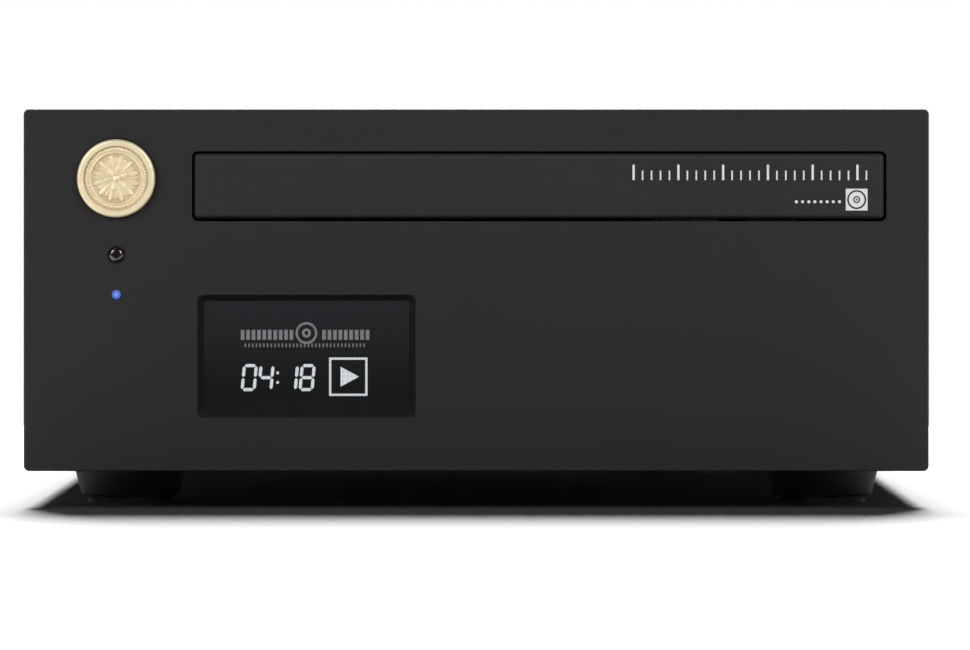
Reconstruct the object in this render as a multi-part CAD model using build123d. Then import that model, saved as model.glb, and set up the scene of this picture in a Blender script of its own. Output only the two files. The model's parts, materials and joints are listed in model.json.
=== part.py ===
from build123d import *

import os
from math import asin, atan, cos, degrees, pi, radians, sin

# A half-width compact disc player with a drawer loader. Millimetres.
# Every piece is drawn with X to the right, Y as depth behind the panel's front face and Z as height above
# the panel's bottom edge. save() then lifts the player onto its feet and centres it front to back.

# Overall sizes
PANEL_WIDTH = 200.0
PANEL_HEIGHT = 80.0
BODY_DEPTH = 260.0          # panel's front face to rear panel's back face
FOOT_HEIGHT = 8.0           # surface to the panel's bottom edge

# Casework
PANEL_THICKNESS = 8.0
PANEL_CORNER = 1.2
PANEL_EDGE = 0.4
SHEET = 1.5                 # steel of the chassis, cover and rear panel
COVER_INSET = 1.0           # cover's faces inside the panel's outline
SHEET_GAP = 0.3             # between the cover and the sheets that it wraps
FLANGE_HEIGHT = 14.0
M3_RADIUS = 1.5
M3_HOLE = 1.7
M3_HEAD_RADIUS = 2.8
M3_HEAD_HEIGHT = 1.8
SCREW_LENGTH = 7.0
CASE_SCREW_LENGTH = 5.0
PANEL_SCREW_INSET = 9.0     # panel's screws to its sides
COVER_SCREW_INSET = (25.0, 7.0)     # cover's top screws to the side and to the back
VENT_SIZE = (56.0, 2.6)
VENT_PITCH = 8.0
VENT_ROWS = 9

# Feet
FOOT_RADIUS = 13.0
FOOT_TIP_RADIUS = 11.0
FOOT_SIDE_INSET = 22.0      # foot axis to the panel's side
FOOT_FRONT_Y = 32.0
FOOT_REAR_INSET = 30.0      # foot axis to the rear panel
FOOT_WEB = 3.0              # plastic between the screw's head and the chassis
PAD_THICKNESS = 1.5
PAD_RADIUS = 9.5

# Control column at the left of the panel
CONTROL_X = -79.5
BUTTON_Z = 64.7
BUTTON_RADIUS = 8.65
BUTTON_GAP = 0.25
BUTTON_PROUD = 2.0
BUTTON_TRAVEL = 0.8
BUTTON_RIM = 1.5
STEM_RADIUS = 3.0
STEM_CLEARANCE = 0.08
BUSH_WALL = 2.5             # wall of the bush round the stem
BUTTON_POCKET = 5.0         # depth of the button's pocket in the panel
IR_Z = 47.8
IR_RADIUS = 2.05
IR_RIM = 0.33
LED_Z = 39.05
LED_RADIUS = 1.0

# Display
WINDOW_X = -37.5
WINDOW_Z = 25.4
WINDOW_WIDTH = 48.3
WINDOW_HEIGHT = 27.2
WINDOW_CORNER = 1.8
WINDOW_BEVEL = 1.2
GLASS_DEPTH = 1.3
GLASS_THICKNESS = 2.0
GLASS_LIP = 3.0             # glass held behind the window's edge on every side
BOARD_THICKNESS = 1.6

# Disc tray
TRAY_X = 13.9
TRAY_Z = 62.95              # middle of the door
SLOT_WIDTH = 153.4
SLOT_HEIGHT = 15.5
SLOT_CORNER = 1.3
DOOR_GAP = 0.5
DOOR_PROUD = 0.4
DOOR_THICKNESS = 4.4
DOOR_EDGE = 1.0
TRAY_WIDTH = 138.0
TRAY_LENGTH = 156.0
TRAY_HEIGHT = 9.5
TRAY_RAIL = 6.0
TRAY_TRAVEL = 130.0
TRAY_CLEARANCE = 0.6
DISC_RADIUS = 60.0
DISC_PLAY = 0.75
SMALL_DISC_RADIUS = 40.0
DISC_SEAT_DEPTH = 4.0
SMALL_SEAT_DEPTH = 5.2
TRAY_FLOOR = 1.8
DECK_SLOT_WIDTH = 50.0

# Loader frame and drive
FRAME_WALL = 3.0
FRAME_LENGTH = 166.0
FRAME_FRONT_Y = 20.0
FRAME_DEPTH = 37.5          # height of the frame's walls
FRAME_TOE = 8.0             # width of its screwed feet
TOE_HEIGHT = 2.5
GEAR_MODULE = 1.0
GEAR_CLEARANCE = 0.25       # added to the centre distance of every pair of gears
TRAY_GEAR_TEETH = 24
PINION_TEETH = 12
PULLEY_RADIUS = 13.0
MOTOR_PULLEY_RADIUS = 3.0
BELT_WIDTH = 1.6
GEAR_Y = 27.0
MOTOR_OFFSET = 50.0         # belt's centre distance
SHAFT_RADIUS = 1.0
RUNNING_FIT = 0.08

# Disc drive
SPINDLE_Y = 70.0
HINGE_Y = 178.0
HINGE_Z = 51.0
HINGE_PIN_RADIUS = 2.0
DECK_DROP = 10.5            # spindle's fall when the deck is lowered
DECK_WIDTH = 90.0
DECK_THICKNESS = 2.0
TURNTABLE_RADIUS = 15.0
HUB_RADIUS = 7.35
DISC_LIFT = 1.5             # turntable above the tray's seat when the deck is raised
SLED_TRAVEL = 35.0
SLED_WIDTH = 44.0
SLED_LENGTH = 24.0
LENS_START_RADIUS = 23.0
ROD_RADIUS = 1.5
ROD_OFFSET = 18.0
SLED_GEAR_TEETH = 16
SLED_PINION_TEETH = 8
LENS_STROKE = 0.4
CAM_TRAVEL = 24.0

# Electronics
BOARD_LIFT = 6.0
MAIN_BOARD_WIDTH = 100.0
MAIN_BOARD_X = 30.0
MAIN_BOARD_FRONT_Y = 62.0
CAN_RADIUS = 7.5
CAN_HEIGHT = 15.0
CAN_PITCH = 19.0
SINK_Y = (64.0, 160.0)
FIN_COUNT = 9
FIN_THICKNESS = 2.0
TOROID_RADIUS = 32.0
TOROID_HEIGHT = 33.0
TOROID_X = -62.0
TOROID_INSET = 38.0         # transformer's axis to the rear panel
TOROID_BOLT = 2.5

# Rear connectors
REAR_PROUD = 9.0
XLR_X = (48.0, 78.0)
XLR_Z = 52.0
XLR_FLANGE = (26.0, 31.0)
XLR_BORE = 7.95
XLR_SCREWS = (9.5, 12.0)    # flange screws from the socket's axis, across and up
PHONO_SCREW_RISE = 10.5
OPTICAL_SCREW_RISE = 9.0
RCA_X = (18.0, 48.0, 78.0)
RCA_Z = 20.0
RCA_RADIUS = 4.15
OPTICAL_X = 18.0
OPTICAL_Z = 50.0
INLET_X = -66.0
INLET_Z = 54.0
INLET_SIZE = (50.0, 31.0)
INLET_DEPTH = 26.0

# Places that follow from the sizes above
FRONT_Y = -(BODY_DEPTH + REAR_PROUD - BUTTON_PROUD) / 2
REAR_Y = BODY_DEPTH - SHEET                     # rear panel's inner face
FLOOR_Z = COVER_INSET + SHEET                   # chassis floor's upper face
COVER_HALF = PANEL_WIDTH / 2 - COVER_INSET
INNER_HALF = COVER_HALF - SHEET - SHEET_GAP     # outer half width of what the cover wraps
COVER_TOP = PANEL_HEIGHT - COVER_INSET
CEILING_Z = COVER_TOP - SHEET
FOOT_X = PANEL_WIDTH / 2 - FOOT_SIDE_INSET
FOOT_PLACES = [(x, y) for x in (-FOOT_X, FOOT_X) for y in (FOOT_FRONT_Y, BODY_DEPTH - FOOT_REAR_INSET)]
WALL_Y = PANEL_THICKNESS + SHEET                # back of the chassis' front wall
TRAY_BOTTOM = TRAY_Z - SLOT_HEIGHT / 2 + 1.8
TRAY_TOP = TRAY_BOTTOM + TRAY_HEIGHT
SEAT_Z = TRAY_TOP - DISC_SEAT_DEPTH
TRAY_FRONT_Y = DOOR_THICKNESS - DOOR_PROUD
TRAY_REAR_Y = TRAY_FRONT_Y + TRAY_LENGTH
FRAME_HALF = TRAY_WIDTH / 2 + TRAY_CLEARANCE    # inner half width of the loader frame
FRAME_TOP = TRAY_TOP + 2.0
FRAME_BOTTOM = FRAME_TOP - FRAME_DEPTH
FRAME_REAR_Y = FRAME_FRONT_Y + FRAME_LENGTH
PLATE_Z = TRAY_BOTTOM - 13.0                    # upper face of the loader's gear plate
PLATE_REAR_Y = SPINDLE_Y - 20.0
DECK_TOP = HINGE_Z + DECK_THICKNESS / 2
DECK_FRONT_Y = PLATE_REAR_Y + 4.0
DECK_ANGLE = degrees(asin(DECK_DROP / (HINGE_Y - SPINDLE_Y)))
TURNTABLE_Z = SEAT_Z + DISC_LIFT
LENS_Y = SPINDLE_Y + LENS_START_RADIUS
STEM_END_Y = WALL_Y + 1.7                       # rear end of the button's stem
CLIP_Y = (WALL_Y + 0.05, WALL_Y + 0.65)
BOARD_Y = WALL_Y + 6.0                          # front face of the display board
SWITCH_FACE_Y = BOARD_Y - 3.5
BELT_Z = PLATE_Z + 2.5
TRAY_GEAR_RADIUS = GEAR_MODULE * TRAY_GEAR_TEETH / 2
PINION_RADIUS = GEAR_MODULE * PINION_TEETH / 2
RACK_X = TRAY_X - TRAY_WIDTH / 2 + TRAY_RAIL    # foot of the tray's rack teeth
TRAY_GEAR_X = RACK_X + TRAY_GEAR_RADIUS + GEAR_MODULE + GEAR_CLEARANCE
PULLEY_X = TRAY_GEAR_X + TRAY_GEAR_RADIUS + PINION_RADIUS + GEAR_CLEARANCE
MOTOR_X = PULLEY_X + MOTOR_OFFSET
SLED_FRONT_Y = LENS_Y - SLED_LENGTH / 2
SLED_GEAR_RADIUS = GEAR_MODULE * SLED_GEAR_TEETH / 2
SLED_PINION_RADIUS = GEAR_MODULE * SLED_PINION_TEETH / 2
SLED_GEAR_X = SLED_WIDTH / 2 + SLED_GEAR_RADIUS + GEAR_MODULE + GEAR_CLEARANCE      # from the tray's middle
SLED_GEAR_Y = SLED_FRONT_Y + SLED_TRAVEL + 4.0
SLED_PINION_Y = SLED_GEAR_Y + SLED_GEAR_RADIUS + SLED_PINION_RADIUS + GEAR_CLEARANCE
ROD_Z = DECK_TOP + 3.8
ROD_START_Y = SLED_FRONT_Y - 5.0
ROD_END_Y = SLED_FRONT_Y + SLED_LENGTH + SLED_TRAVEL + 6.0
CLAMP_RADIUS = 11.4
CAM_X = TRAY_X + 20.0                           # deck's lifting pin
CAM_PIN_RADIUS = 1.2
CAM_REACH = (-31.0, 7.0)    # cam's ends either side of the pin
CAM_Y = (PLATE_REAR_Y + 1.0, DECK_FRONT_Y - 1.0)
CAM_RISE = (HINGE_Y - CAM_Y[0]) * sin(radians(DECK_ANGLE))
CAM_LOW_Z = HINGE_Z - CAM_RISE
BOARD_Z = FLOOR_Z + BOARD_LIFT                  # main board's lower face
BOARD_TOP = BOARD_Z + BOARD_THICKNESS
ROCKER_X = INLET_X + 15.5
ROCKER_SIZE = (11.0, 20.0)
ROCKER_ANGLE = 11.0                             # either side of level
SOCKET_X = INLET_X - 7.0
SOCKET_Z = INLET_Z + 4.2
SOCKET_SIZE = (25.0, 17.0)
SOCKET_DEPTH = 16.0
DRAWER_Z = INLET_Z - 10.0
DRAWER_SIZE = (22.0, 6.0)
DRAWER_TRAVEL = 18.0
INLET_FLANGE = 2.5
XLR_DEPTH = 16.0
PORT_SIZE = 10.0
PORT_BORE = 8.0
ROCKER_Y = BODY_DEPTH + INLET_FLANGE - 3.0      # rocker's pivot
FLAP_Y = BODY_DEPTH - 0.6


# ---- Helpers ----

def block(x, y, z):
    """A box between its low and high limits along X, Y and Z."""
    size = [limits[1] - limits[0] for limits in (x, y, z)]
    middle = [(limits[0] + limits[1]) / 2 for limits in (x, y, z)]
    return Pos(*middle) * Box(*size)


def upright(x, y, radius, z):
    """A cylinder along Z, between its low and high z."""
    return Pos(x, y, (z[0] + z[1]) / 2) * Cylinder(radius, z[1] - z[0])


def along_y(x, z, radius, y):
    """A cylinder along Y, between its near and far y."""
    return Pos(x, (y[0] + y[1]) / 2, z) * Rot(90, 0, 0) * Cylinder(radius, y[1] - y[0])


def along_x(y, z, radius, x):
    """A cylinder along X, between its left and right x."""
    return Pos((x[0] + x[1]) / 2, y, z) * Rot(0, 90, 0) * Cylinder(radius, x[1] - x[0])


def facing(x, z, width, height, radius, y):
    """A slab that faces the front, with rounded corners, between its near and far y."""
    slab = extrude(RectangleRounded(width, height, radius), amount=y[1] - y[0])
    return Pos(x, y[1], z) * Rot(90, 0, 0) * slab


def centred(middle, size):
    """Low and high limits about a middle."""
    return (middle - size / 2, middle + size / 2)


def screw_down(x, y, z, length=SCREW_LENGTH, head_height=M3_HEAD_HEIGHT):
    """A pan-head screw that enters downwards, its head standing on z."""
    head = upright(x, y, M3_HEAD_RADIUS, (z, z + head_height))
    head = fillet(head.edges().group_by(Axis.Z)[-1], head_height / 3)
    recess = (z + 0.4 * head_height, z + head_height)
    head -= block(centred(x, 3.2), centred(y, 0.7), recess) + block(centred(x, 0.7), centred(y, 3.2), recess)
    return head + upright(x, y, M3_RADIUS, (z - length, z))


def screw_up(x, y, z, length=SCREW_LENGTH):
    """A pan-head screw that enters upwards, its head under z."""
    return Pos(x, y, z) * Rot(180, 0, 0) * screw_down(0, 0, 0, length)


def screw_forward(x, y, z, length=SCREW_LENGTH):
    """A pan-head screw that enters towards the front, its head behind y."""
    return Pos(x, y, z) * Rot(-90, 0, 0) * screw_down(0, 0, 0, length)


def screw_side(side, x, y, z, length, head_height):
    """A pan-head screw that enters from the side (-1 left, 1 right), its head outside x."""
    return Pos(side * x, y, z) * Rot(0, 90 * side, 0) * screw_down(0, 0, 0, length, head_height)


def spur(teeth, width, phase=0.0):
    """A spur gear on Z, centred on its axis, with a tooth at the angle phase in degrees."""
    pitch_radius = GEAR_MODULE * teeth / 2
    tip = pitch_radius + 0.9 * GEAR_MODULE
    root = pitch_radius - 1.2 * GEAR_MODULE
    tip_angle = radians(32.0 / teeth)
    root_angle = radians(92.0 / teeth)
    points = []
    for tooth in range(teeth):
        middle = radians(phase) + 2 * pi * tooth / teeth
        for radius, angle in ((root, -root_angle), (tip, -tip_angle), (tip, tip_angle), (root, root_angle)):
            points.append((radius * cos(middle + angle), radius * sin(middle + angle)))
    return extrude(make_face(Polyline(*points, close=True)), amount=width)


def rack(length, width, offset):
    """A rack along Y whose teeth point to +X from x = 0, the first tooth's middle at offset."""
    pitch = pi * GEAR_MODULE
    height = 2.1 * GEAR_MODULE
    points = [(-1.2, 0.0), (0.0, 0.0)]
    place = offset
    while place + 0.8 < length:
        points += [(0.0, place - 0.8), (height, place - 0.28), (height, place + 0.28), (0.0, place + 0.8)]
        place += pitch
    points += [(0.0, length), (-1.2, length)]
    return extrude(make_face(Polyline(*points, close=True)), amount=width)


def lowered(shape):
    """A piece of the deck, drawn level, at its rest with the deck lowered."""
    return Pos(0, HINGE_Y, HINGE_Z) * Rot(DECK_ANGLE, 0, 0) * Pos(0, -HINGE_Y, -HINGE_Z) * shape


def save(name, *shapes):
    """Write one node from its separate solids, at the player's place on its feet."""
    solids = [solid for shape in shapes for solid in shape.solids()]
    export_step(Pos(0, FRONT_Y, FOOT_HEIGHT) * Compound(solids), f"parts/{name}.step")


# ---- Casework ----

def panel_bosses():
    """Places of the four screws that hold the panel to the chassis' front wall."""
    x = PANEL_WIDTH / 2 - PANEL_SCREW_INSET
    upper = CEILING_Z - M3_HEAD_RADIUS - 0.2
    return [(-x, 8.0), (x, 8.0), (-x, upper), (x, upper)]


def front_panel():
    panel = facing(0, PANEL_HEIGHT / 2, PANEL_WIDTH, PANEL_HEIGHT, PANEL_CORNER, (0, PANEL_THICKNESS))
    panel = fillet(panel.edges().group_by(Axis.Y)[0], PANEL_EDGE)
    through = (-1, PANEL_THICKNESS + 1)
    panel -= facing(TRAY_X, TRAY_Z, SLOT_WIDTH, SLOT_HEIGHT, SLOT_CORNER, through)
    inner_width = WINDOW_WIDTH - 2 * WINDOW_BEVEL
    inner_height = WINDOW_HEIGHT - 2 * WINDOW_BEVEL
    panel -= facing(WINDOW_X, WINDOW_Z, inner_width, inner_height, WINDOW_CORNER - WINDOW_BEVEL / 2, through)
    outer = Plane.XZ * Pos(WINDOW_X, WINDOW_Z) * RectangleRounded(WINDOW_WIDTH, WINDOW_HEIGHT, WINDOW_CORNER)
    inner = Plane.XZ.offset(-GLASS_DEPTH) * Pos(WINDOW_X, WINDOW_Z) * RectangleRounded(
        inner_width, inner_height, WINDOW_CORNER - WINDOW_BEVEL / 2)
    panel -= loft([outer, inner])
    recess = (GLASS_DEPTH, PANEL_THICKNESS + 1)
    recess_width = inner_width + 2 * GLASS_LIP + 0.4
    recess_height = inner_height + 2 * GLASS_LIP + 0.4
    panel -= block(centred(WINDOW_X, recess_width), recess, centred(WINDOW_Z, recess_height))
    panel -= along_y(CONTROL_X, BUTTON_Z, BUTTON_RADIUS + BUTTON_GAP, (-1, BUTTON_POCKET))
    panel -= along_y(CONTROL_X, BUTTON_Z, STEM_RADIUS + BUSH_WALL, through)
    panel -= along_y(CONTROL_X, IR_Z, IR_RADIUS, through)
    panel -= along_y(CONTROL_X, LED_Z, LED_RADIUS, through)
    for x, z in panel_bosses():
        panel -= along_y(x, z, M3_RADIUS, (PANEL_THICKNESS - 5.5, PANEL_THICKNESS + 1))
    return panel


def foot_screw_holes():
    return [upright(x, y, M3_HOLE, (COVER_INSET - 1, FLOOR_Z + 1)) for x, y in FOOT_PLACES]


def side_screw_places():
    """Depths and height of the cover's side screws."""
    return [(y, FLOOR_Z + 7.0) for y in (40.0, BODY_DEPTH / 2, BODY_DEPTH - 25.0)]


def board_posts():
    left = MAIN_BOARD_X - MAIN_BOARD_WIDTH / 2 + 5
    right = MAIN_BOARD_X + MAIN_BOARD_WIDTH / 2 - 5
    front = MAIN_BOARD_FRONT_Y + 5
    back = BODY_DEPTH - 18
    return [(x, y) for x in (left, right) for y in (front, (front + back) / 2, back)]


def frame_feet():
    """Places of the loader frame's four screws in the chassis floor."""
    x = FRAME_HALF + FRAME_WALL + FRAME_TOE / 2
    return [(TRAY_X + side * x, y) for side in (-1, 1) for y in (FRAME_FRONT_Y + 6, FRAME_REAR_Y - 6)]


def chassis_base():
    floor = block((-INNER_HALF, INNER_HALF), (PANEL_THICKNESS, BODY_DEPTH), (COVER_INSET, FLOOR_Z))
    wall = block((-INNER_HALF, INNER_HALF), (PANEL_THICKNESS, WALL_Y), (FLOOR_Z, CEILING_Z - SHEET_GAP))
    base = floor + wall
    for side in (-1, 1):
        flange_x = sorted((side * INNER_HALF, side * (INNER_HALF - SHEET)))
        base += block(flange_x, (WALL_Y, REAR_Y), (FLOOR_Z, FLOOR_Z + FLANGE_HEIGHT))
    across = (PANEL_THICKNESS - 1, WALL_Y + 1)
    base -= facing(TRAY_X, TRAY_Z, SLOT_WIDTH, SLOT_HEIGHT, SLOT_CORNER, across)
    module_width = WINDOW_WIDTH - 2 * WINDOW_BEVEL + 2 * GLASS_LIP + 0.4
    module_height = WINDOW_HEIGHT - 2 * WINDOW_BEVEL + 2 * GLASS_LIP + 0.4
    base -= block(centred(WINDOW_X, module_width), across, centred(WINDOW_Z, module_height))
    base -= along_y(CONTROL_X, BUTTON_Z, STEM_RADIUS + BUSH_WALL, across)
    base -= along_y(CONTROL_X, IR_Z, IR_RADIUS + 0.5, across)
    base -= along_y(CONTROL_X, LED_Z, LED_RADIUS + 0.5, across)
    for x, z in panel_bosses():
        base -= along_y(x, z, M3_HOLE, across)
    for y, z in side_screw_places():
        base -= along_x(y, z, M3_RADIUS, (-PANEL_WIDTH, PANEL_WIDTH))
    for hole in foot_screw_holes():
        base -= hole
    for x, y in frame_feet() + board_posts():
        base -= upright(x, y, M3_RADIUS, (COVER_INSET - 1, FLOOR_Z + 1))
    base -= upright(TOROID_X, BODY_DEPTH - TOROID_INSET, TOROID_BOLT + 0.1, (COVER_INSET - 1, FLOOR_Z + 1))
    return base


def top_cover():
    cover = block((-COVER_HALF, COVER_HALF), (PANEL_THICKNESS, BODY_DEPTH), (COVER_INSET, COVER_TOP))
    cover = fillet([cover.edges().filter_by(Axis.Y).sort_by(Axis.Z)[i] for i in (-1, -2)], 2.0)
    inner = COVER_HALF - SHEET
    hollow = block((-inner, inner), (PANEL_THICKNESS - 1, BODY_DEPTH + 1), (COVER_INSET - 1, CEILING_Z))
    cover -= fillet([hollow.edges().filter_by(Axis.Y).sort_by(Axis.Z)[i] for i in (-1, -2)], 0.5)
    for y, z in side_screw_places():
        cover -= along_x(y, z, M3_HOLE, (-PANEL_WIDTH, PANEL_WIDTH))
    for x, y in cover_top_screws():
        cover -= upright(x, y, M3_HOLE, (CEILING_Z - 1, COVER_TOP + 1))
    for column in (-1, 1):
        for row in range(VENT_ROWS):
            y = BODY_DEPTH - 42.0 - VENT_PITCH * row
            slot = extrude(Pos(column * 45.0, y) * SlotOverall(*VENT_SIZE), amount=SHEET + 2)
            cover -= Pos(0, 0, CEILING_Z - 1) * slot
    return cover


def cover_top_screws():
    x = PANEL_WIDTH / 2 - COVER_SCREW_INSET[0]
    return [(side * x, BODY_DEPTH - COVER_SCREW_INSET[1]) for side in (-1, 1)]


def rear_panel():
    top = CEILING_Z - SHEET_GAP
    panel = block((-INNER_HALF, INNER_HALF), (REAR_Y, BODY_DEPTH), (FLOOR_Z, top))
    panel += block((-INNER_HALF + 8, INNER_HALF - 8), (REAR_Y - 11.0, REAR_Y), (top - SHEET, top))
    for side in (-1, 1):
        tab_x = sorted((side * (INNER_HALF - SHEET), side * (INNER_HALF - 2 * SHEET)))
        panel += block(tab_x, (REAR_Y - 10, REAR_Y), (FLOOR_Z + 1, FLOOR_Z + 13))
    through = (REAR_Y - 1, BODY_DEPTH + 1)
    for x in XLR_X:
        panel -= along_y(x, XLR_Z, XLR_BORE + 2.0, through)
    for x in RCA_X:
        panel -= along_y(x, RCA_Z, RCA_RADIUS + 1.2, through)
    panel -= block(centred(OPTICAL_X, 10.4), through, centred(OPTICAL_Z, 10.4))
    panel -= block(centred(INLET_X, INLET_SIZE[0] - 4), through, centred(INLET_Z, INLET_SIZE[1] - 4))
    for x, y in cover_top_screws():
        panel -= upright(x, y, M3_RADIUS, (top - 3, top + 1))
    for x, z in connector_screw_places():
        panel -= along_y(x, z, M3_RADIUS, through)
    return panel


def flange_screw_places():
    """Screws that go through the flanges of the balanced sockets."""
    return [(x + side * XLR_SCREWS[0], XLR_Z + side * XLR_SCREWS[1]) for x in XLR_X for side in (-1, 1)]


def connector_screw_places():
    places = flange_screw_places() + [(x, RCA_Z + PHONO_SCREW_RISE) for x in RCA_X]
    return places + [(OPTICAL_X, OPTICAL_Z + OPTICAL_SCREW_RISE)]


def case_screws():
    size = (CASE_SCREW_LENGTH, COVER_INSET - 0.1)
    screws = [screw_side(side, COVER_HALF, y, z, *size) for side in (-1, 1) for y, z in side_screw_places()]
    return screws + [screw_down(x, y, COVER_TOP, *size) for x, y in cover_top_screws()]


def feet():
    solids = []
    for x, y in FOOT_PLACES:
        base = PAD_THICKNESS - FOOT_HEIGHT
        foot = Pos(x, y, (base + COVER_INSET) / 2) * Cone(FOOT_TIP_RADIUS, FOOT_RADIUS, COVER_INSET - base)
        foot = fillet(foot.edges().group_by(Axis.Z)[0], 0.8)
        foot -= upright(x, y, M3_HOLE, (base - 1, COVER_INSET + 1))
        foot -= upright(x, y, M3_HEAD_RADIUS + 0.4, (base - 1, COVER_INSET - FOOT_WEB))
        solids.append(foot)
    return solids


def foot_pads():
    pads = []
    for x, y in FOOT_PLACES:
        pad = upright(x, y, PAD_RADIUS, (-FOOT_HEIGHT, PAD_THICKNESS - FOOT_HEIGHT))
        pads.append(pad - upright(x, y, M3_HEAD_RADIUS + 0.4, (-FOOT_HEIGHT - 1, 0)))
    return pads


def foot_screws():
    return [screw_up(x, y, COVER_INSET - FOOT_WEB, FOOT_WEB + SHEET) for x, y in FOOT_PLACES]


# ---- Front controls and display ----

def medallion():
    disc = along_y(CONTROL_X, BUTTON_Z, BUTTON_RADIUS, (-BUTTON_PROUD, 3.0))
    disc = fillet(disc.edges().group_by(Axis.Y)[0], 0.7)
    disc -= along_y(CONTROL_X, BUTTON_Z, BUTTON_RADIUS - BUTTON_RIM, (-BUTTON_PROUD - 1, -BUTTON_PROUD + 0.7))
    stem = along_y(CONTROL_X, BUTTON_Z, STEM_RADIUS, (3.0, STEM_END_Y))
    groove = along_y(CONTROL_X, BUTTON_Z, STEM_RADIUS + 1, CLIP_Y)
    groove -= along_y(CONTROL_X, BUTTON_Z, STEM_RADIUS - 0.6, CLIP_Y)
    return disc + stem - groove


def medallion_bush():
    bush = along_y(CONTROL_X, BUTTON_Z, STEM_RADIUS + BUSH_WALL, (BUTTON_POCKET, WALL_Y))
    bush += along_y(CONTROL_X, BUTTON_Z, STEM_RADIUS + 1.2, (BUTTON_POCKET - 0.7, BUTTON_POCKET))
    return bush - along_y(CONTROL_X, BUTTON_Z, STEM_RADIUS + STEM_CLEARANCE, (0, WALL_Y + 1))


def return_spring():
    wire = 0.22
    coil_radius = STEM_RADIUS + 2.8
    rise = 2.0 - 2 * wire
    path = Helix(pitch=rise / 2.5, height=rise, radius=coil_radius)
    section = Plane(origin=path @ 0, z_dir=path % 0) * Circle(wire)
    coil = sweep(section, path=path, is_frenet=True)
    return Pos(CONTROL_X, BUTTON_POCKET - wire, BUTTON_Z) * Rot(90, 0, 0) * coil


def retaining_clip():
    ring = along_y(CONTROL_X, BUTTON_Z, STEM_RADIUS + 1.6, CLIP_Y)
    ring -= along_y(CONTROL_X, BUTTON_Z, STEM_RADIUS - 0.6, CLIP_Y)
    return ring - block(centred(CONTROL_X, 2.4), CLIP_Y, (BUTTON_Z - 6, BUTTON_Z))


def tact_switch():
    body = block(centred(CONTROL_X, 6.2), (SWITCH_FACE_Y, BOARD_Y), centred(BUTTON_Z, 6.2))
    return body - along_y(CONTROL_X, BUTTON_Z, 1.8, (SWITCH_FACE_Y - 1, BOARD_Y - 1.2))


def switch_plunger():
    return along_y(CONTROL_X, BUTTON_Z, 1.6, (STEM_END_Y, SWITCH_FACE_Y + 0.9))


def ir_bezel():
    ring = along_y(CONTROL_X, IR_Z, IR_RADIUS, (-0.12, PANEL_THICKNESS))
    return ring - along_y(CONTROL_X, IR_Z, IR_RADIUS - IR_RIM, (-1, PANEL_THICKNESS + 1))


def ir_lens():
    radius = IR_RADIUS - IR_RIM
    lens = along_y(CONTROL_X, IR_Z, radius, (-0.5, PANEL_THICKNESS))
    lens = fillet(lens.edges().group_by(Axis.Y)[0], 0.9)
    lens += along_y(CONTROL_X, IR_Z, radius, (PANEL_THICKNESS, WALL_Y + 1))
    return lens + block(centred(CONTROL_X, 6), (WALL_Y + 0.2, BOARD_Y), centred(IR_Z, 7))


def led_pipe():
    pipe = along_y(CONTROL_X, LED_Z, LED_RADIUS, (-0.1, BOARD_Y))
    return pipe + along_y(CONTROL_X, LED_Z, LED_RADIUS + 0.6, (WALL_Y + 0.2, BOARD_Y))


def display_glass():
    width = WINDOW_WIDTH - 2 * WINDOW_BEVEL + 2 * GLASS_LIP
    height = WINDOW_HEIGHT - 2 * WINDOW_BEVEL + 2 * GLASS_LIP
    depth = (GLASS_DEPTH, GLASS_DEPTH + GLASS_THICKNESS)
    return block(centred(WINDOW_X, width), depth, centred(WINDOW_Z, height))


def display_module():
    width = WINDOW_WIDTH - 2 * WINDOW_BEVEL + 2 * GLASS_LIP - 0.6
    height = WINDOW_HEIGHT - 2 * WINDOW_BEVEL + 2 * GLASS_LIP - 0.6
    front = GLASS_DEPTH + GLASS_THICKNESS
    module = block(centred(WINDOW_X, width), (front, BOARD_Y), centred(WINDOW_Z, height))
    hollow = (front + 3.5, BOARD_Y + 1)
    return module - block(centred(WINDOW_X, width - 8), hollow, centred(WINDOW_Z, height - 8))


def display_board():
    behind = (BOARD_Y, BOARD_Y + BOARD_THICKNESS)
    left = CONTROL_X - 11.0
    board = block((left, WINDOW_X + 42.0), behind, (FLOOR_Z + 5, PLATE_Z))
    board += block((left, CONTROL_X + 12.0), behind, (PLATE_Z, BUTTON_Z + 8))
    return board


# ---- Disc tray and its drive ----

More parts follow.
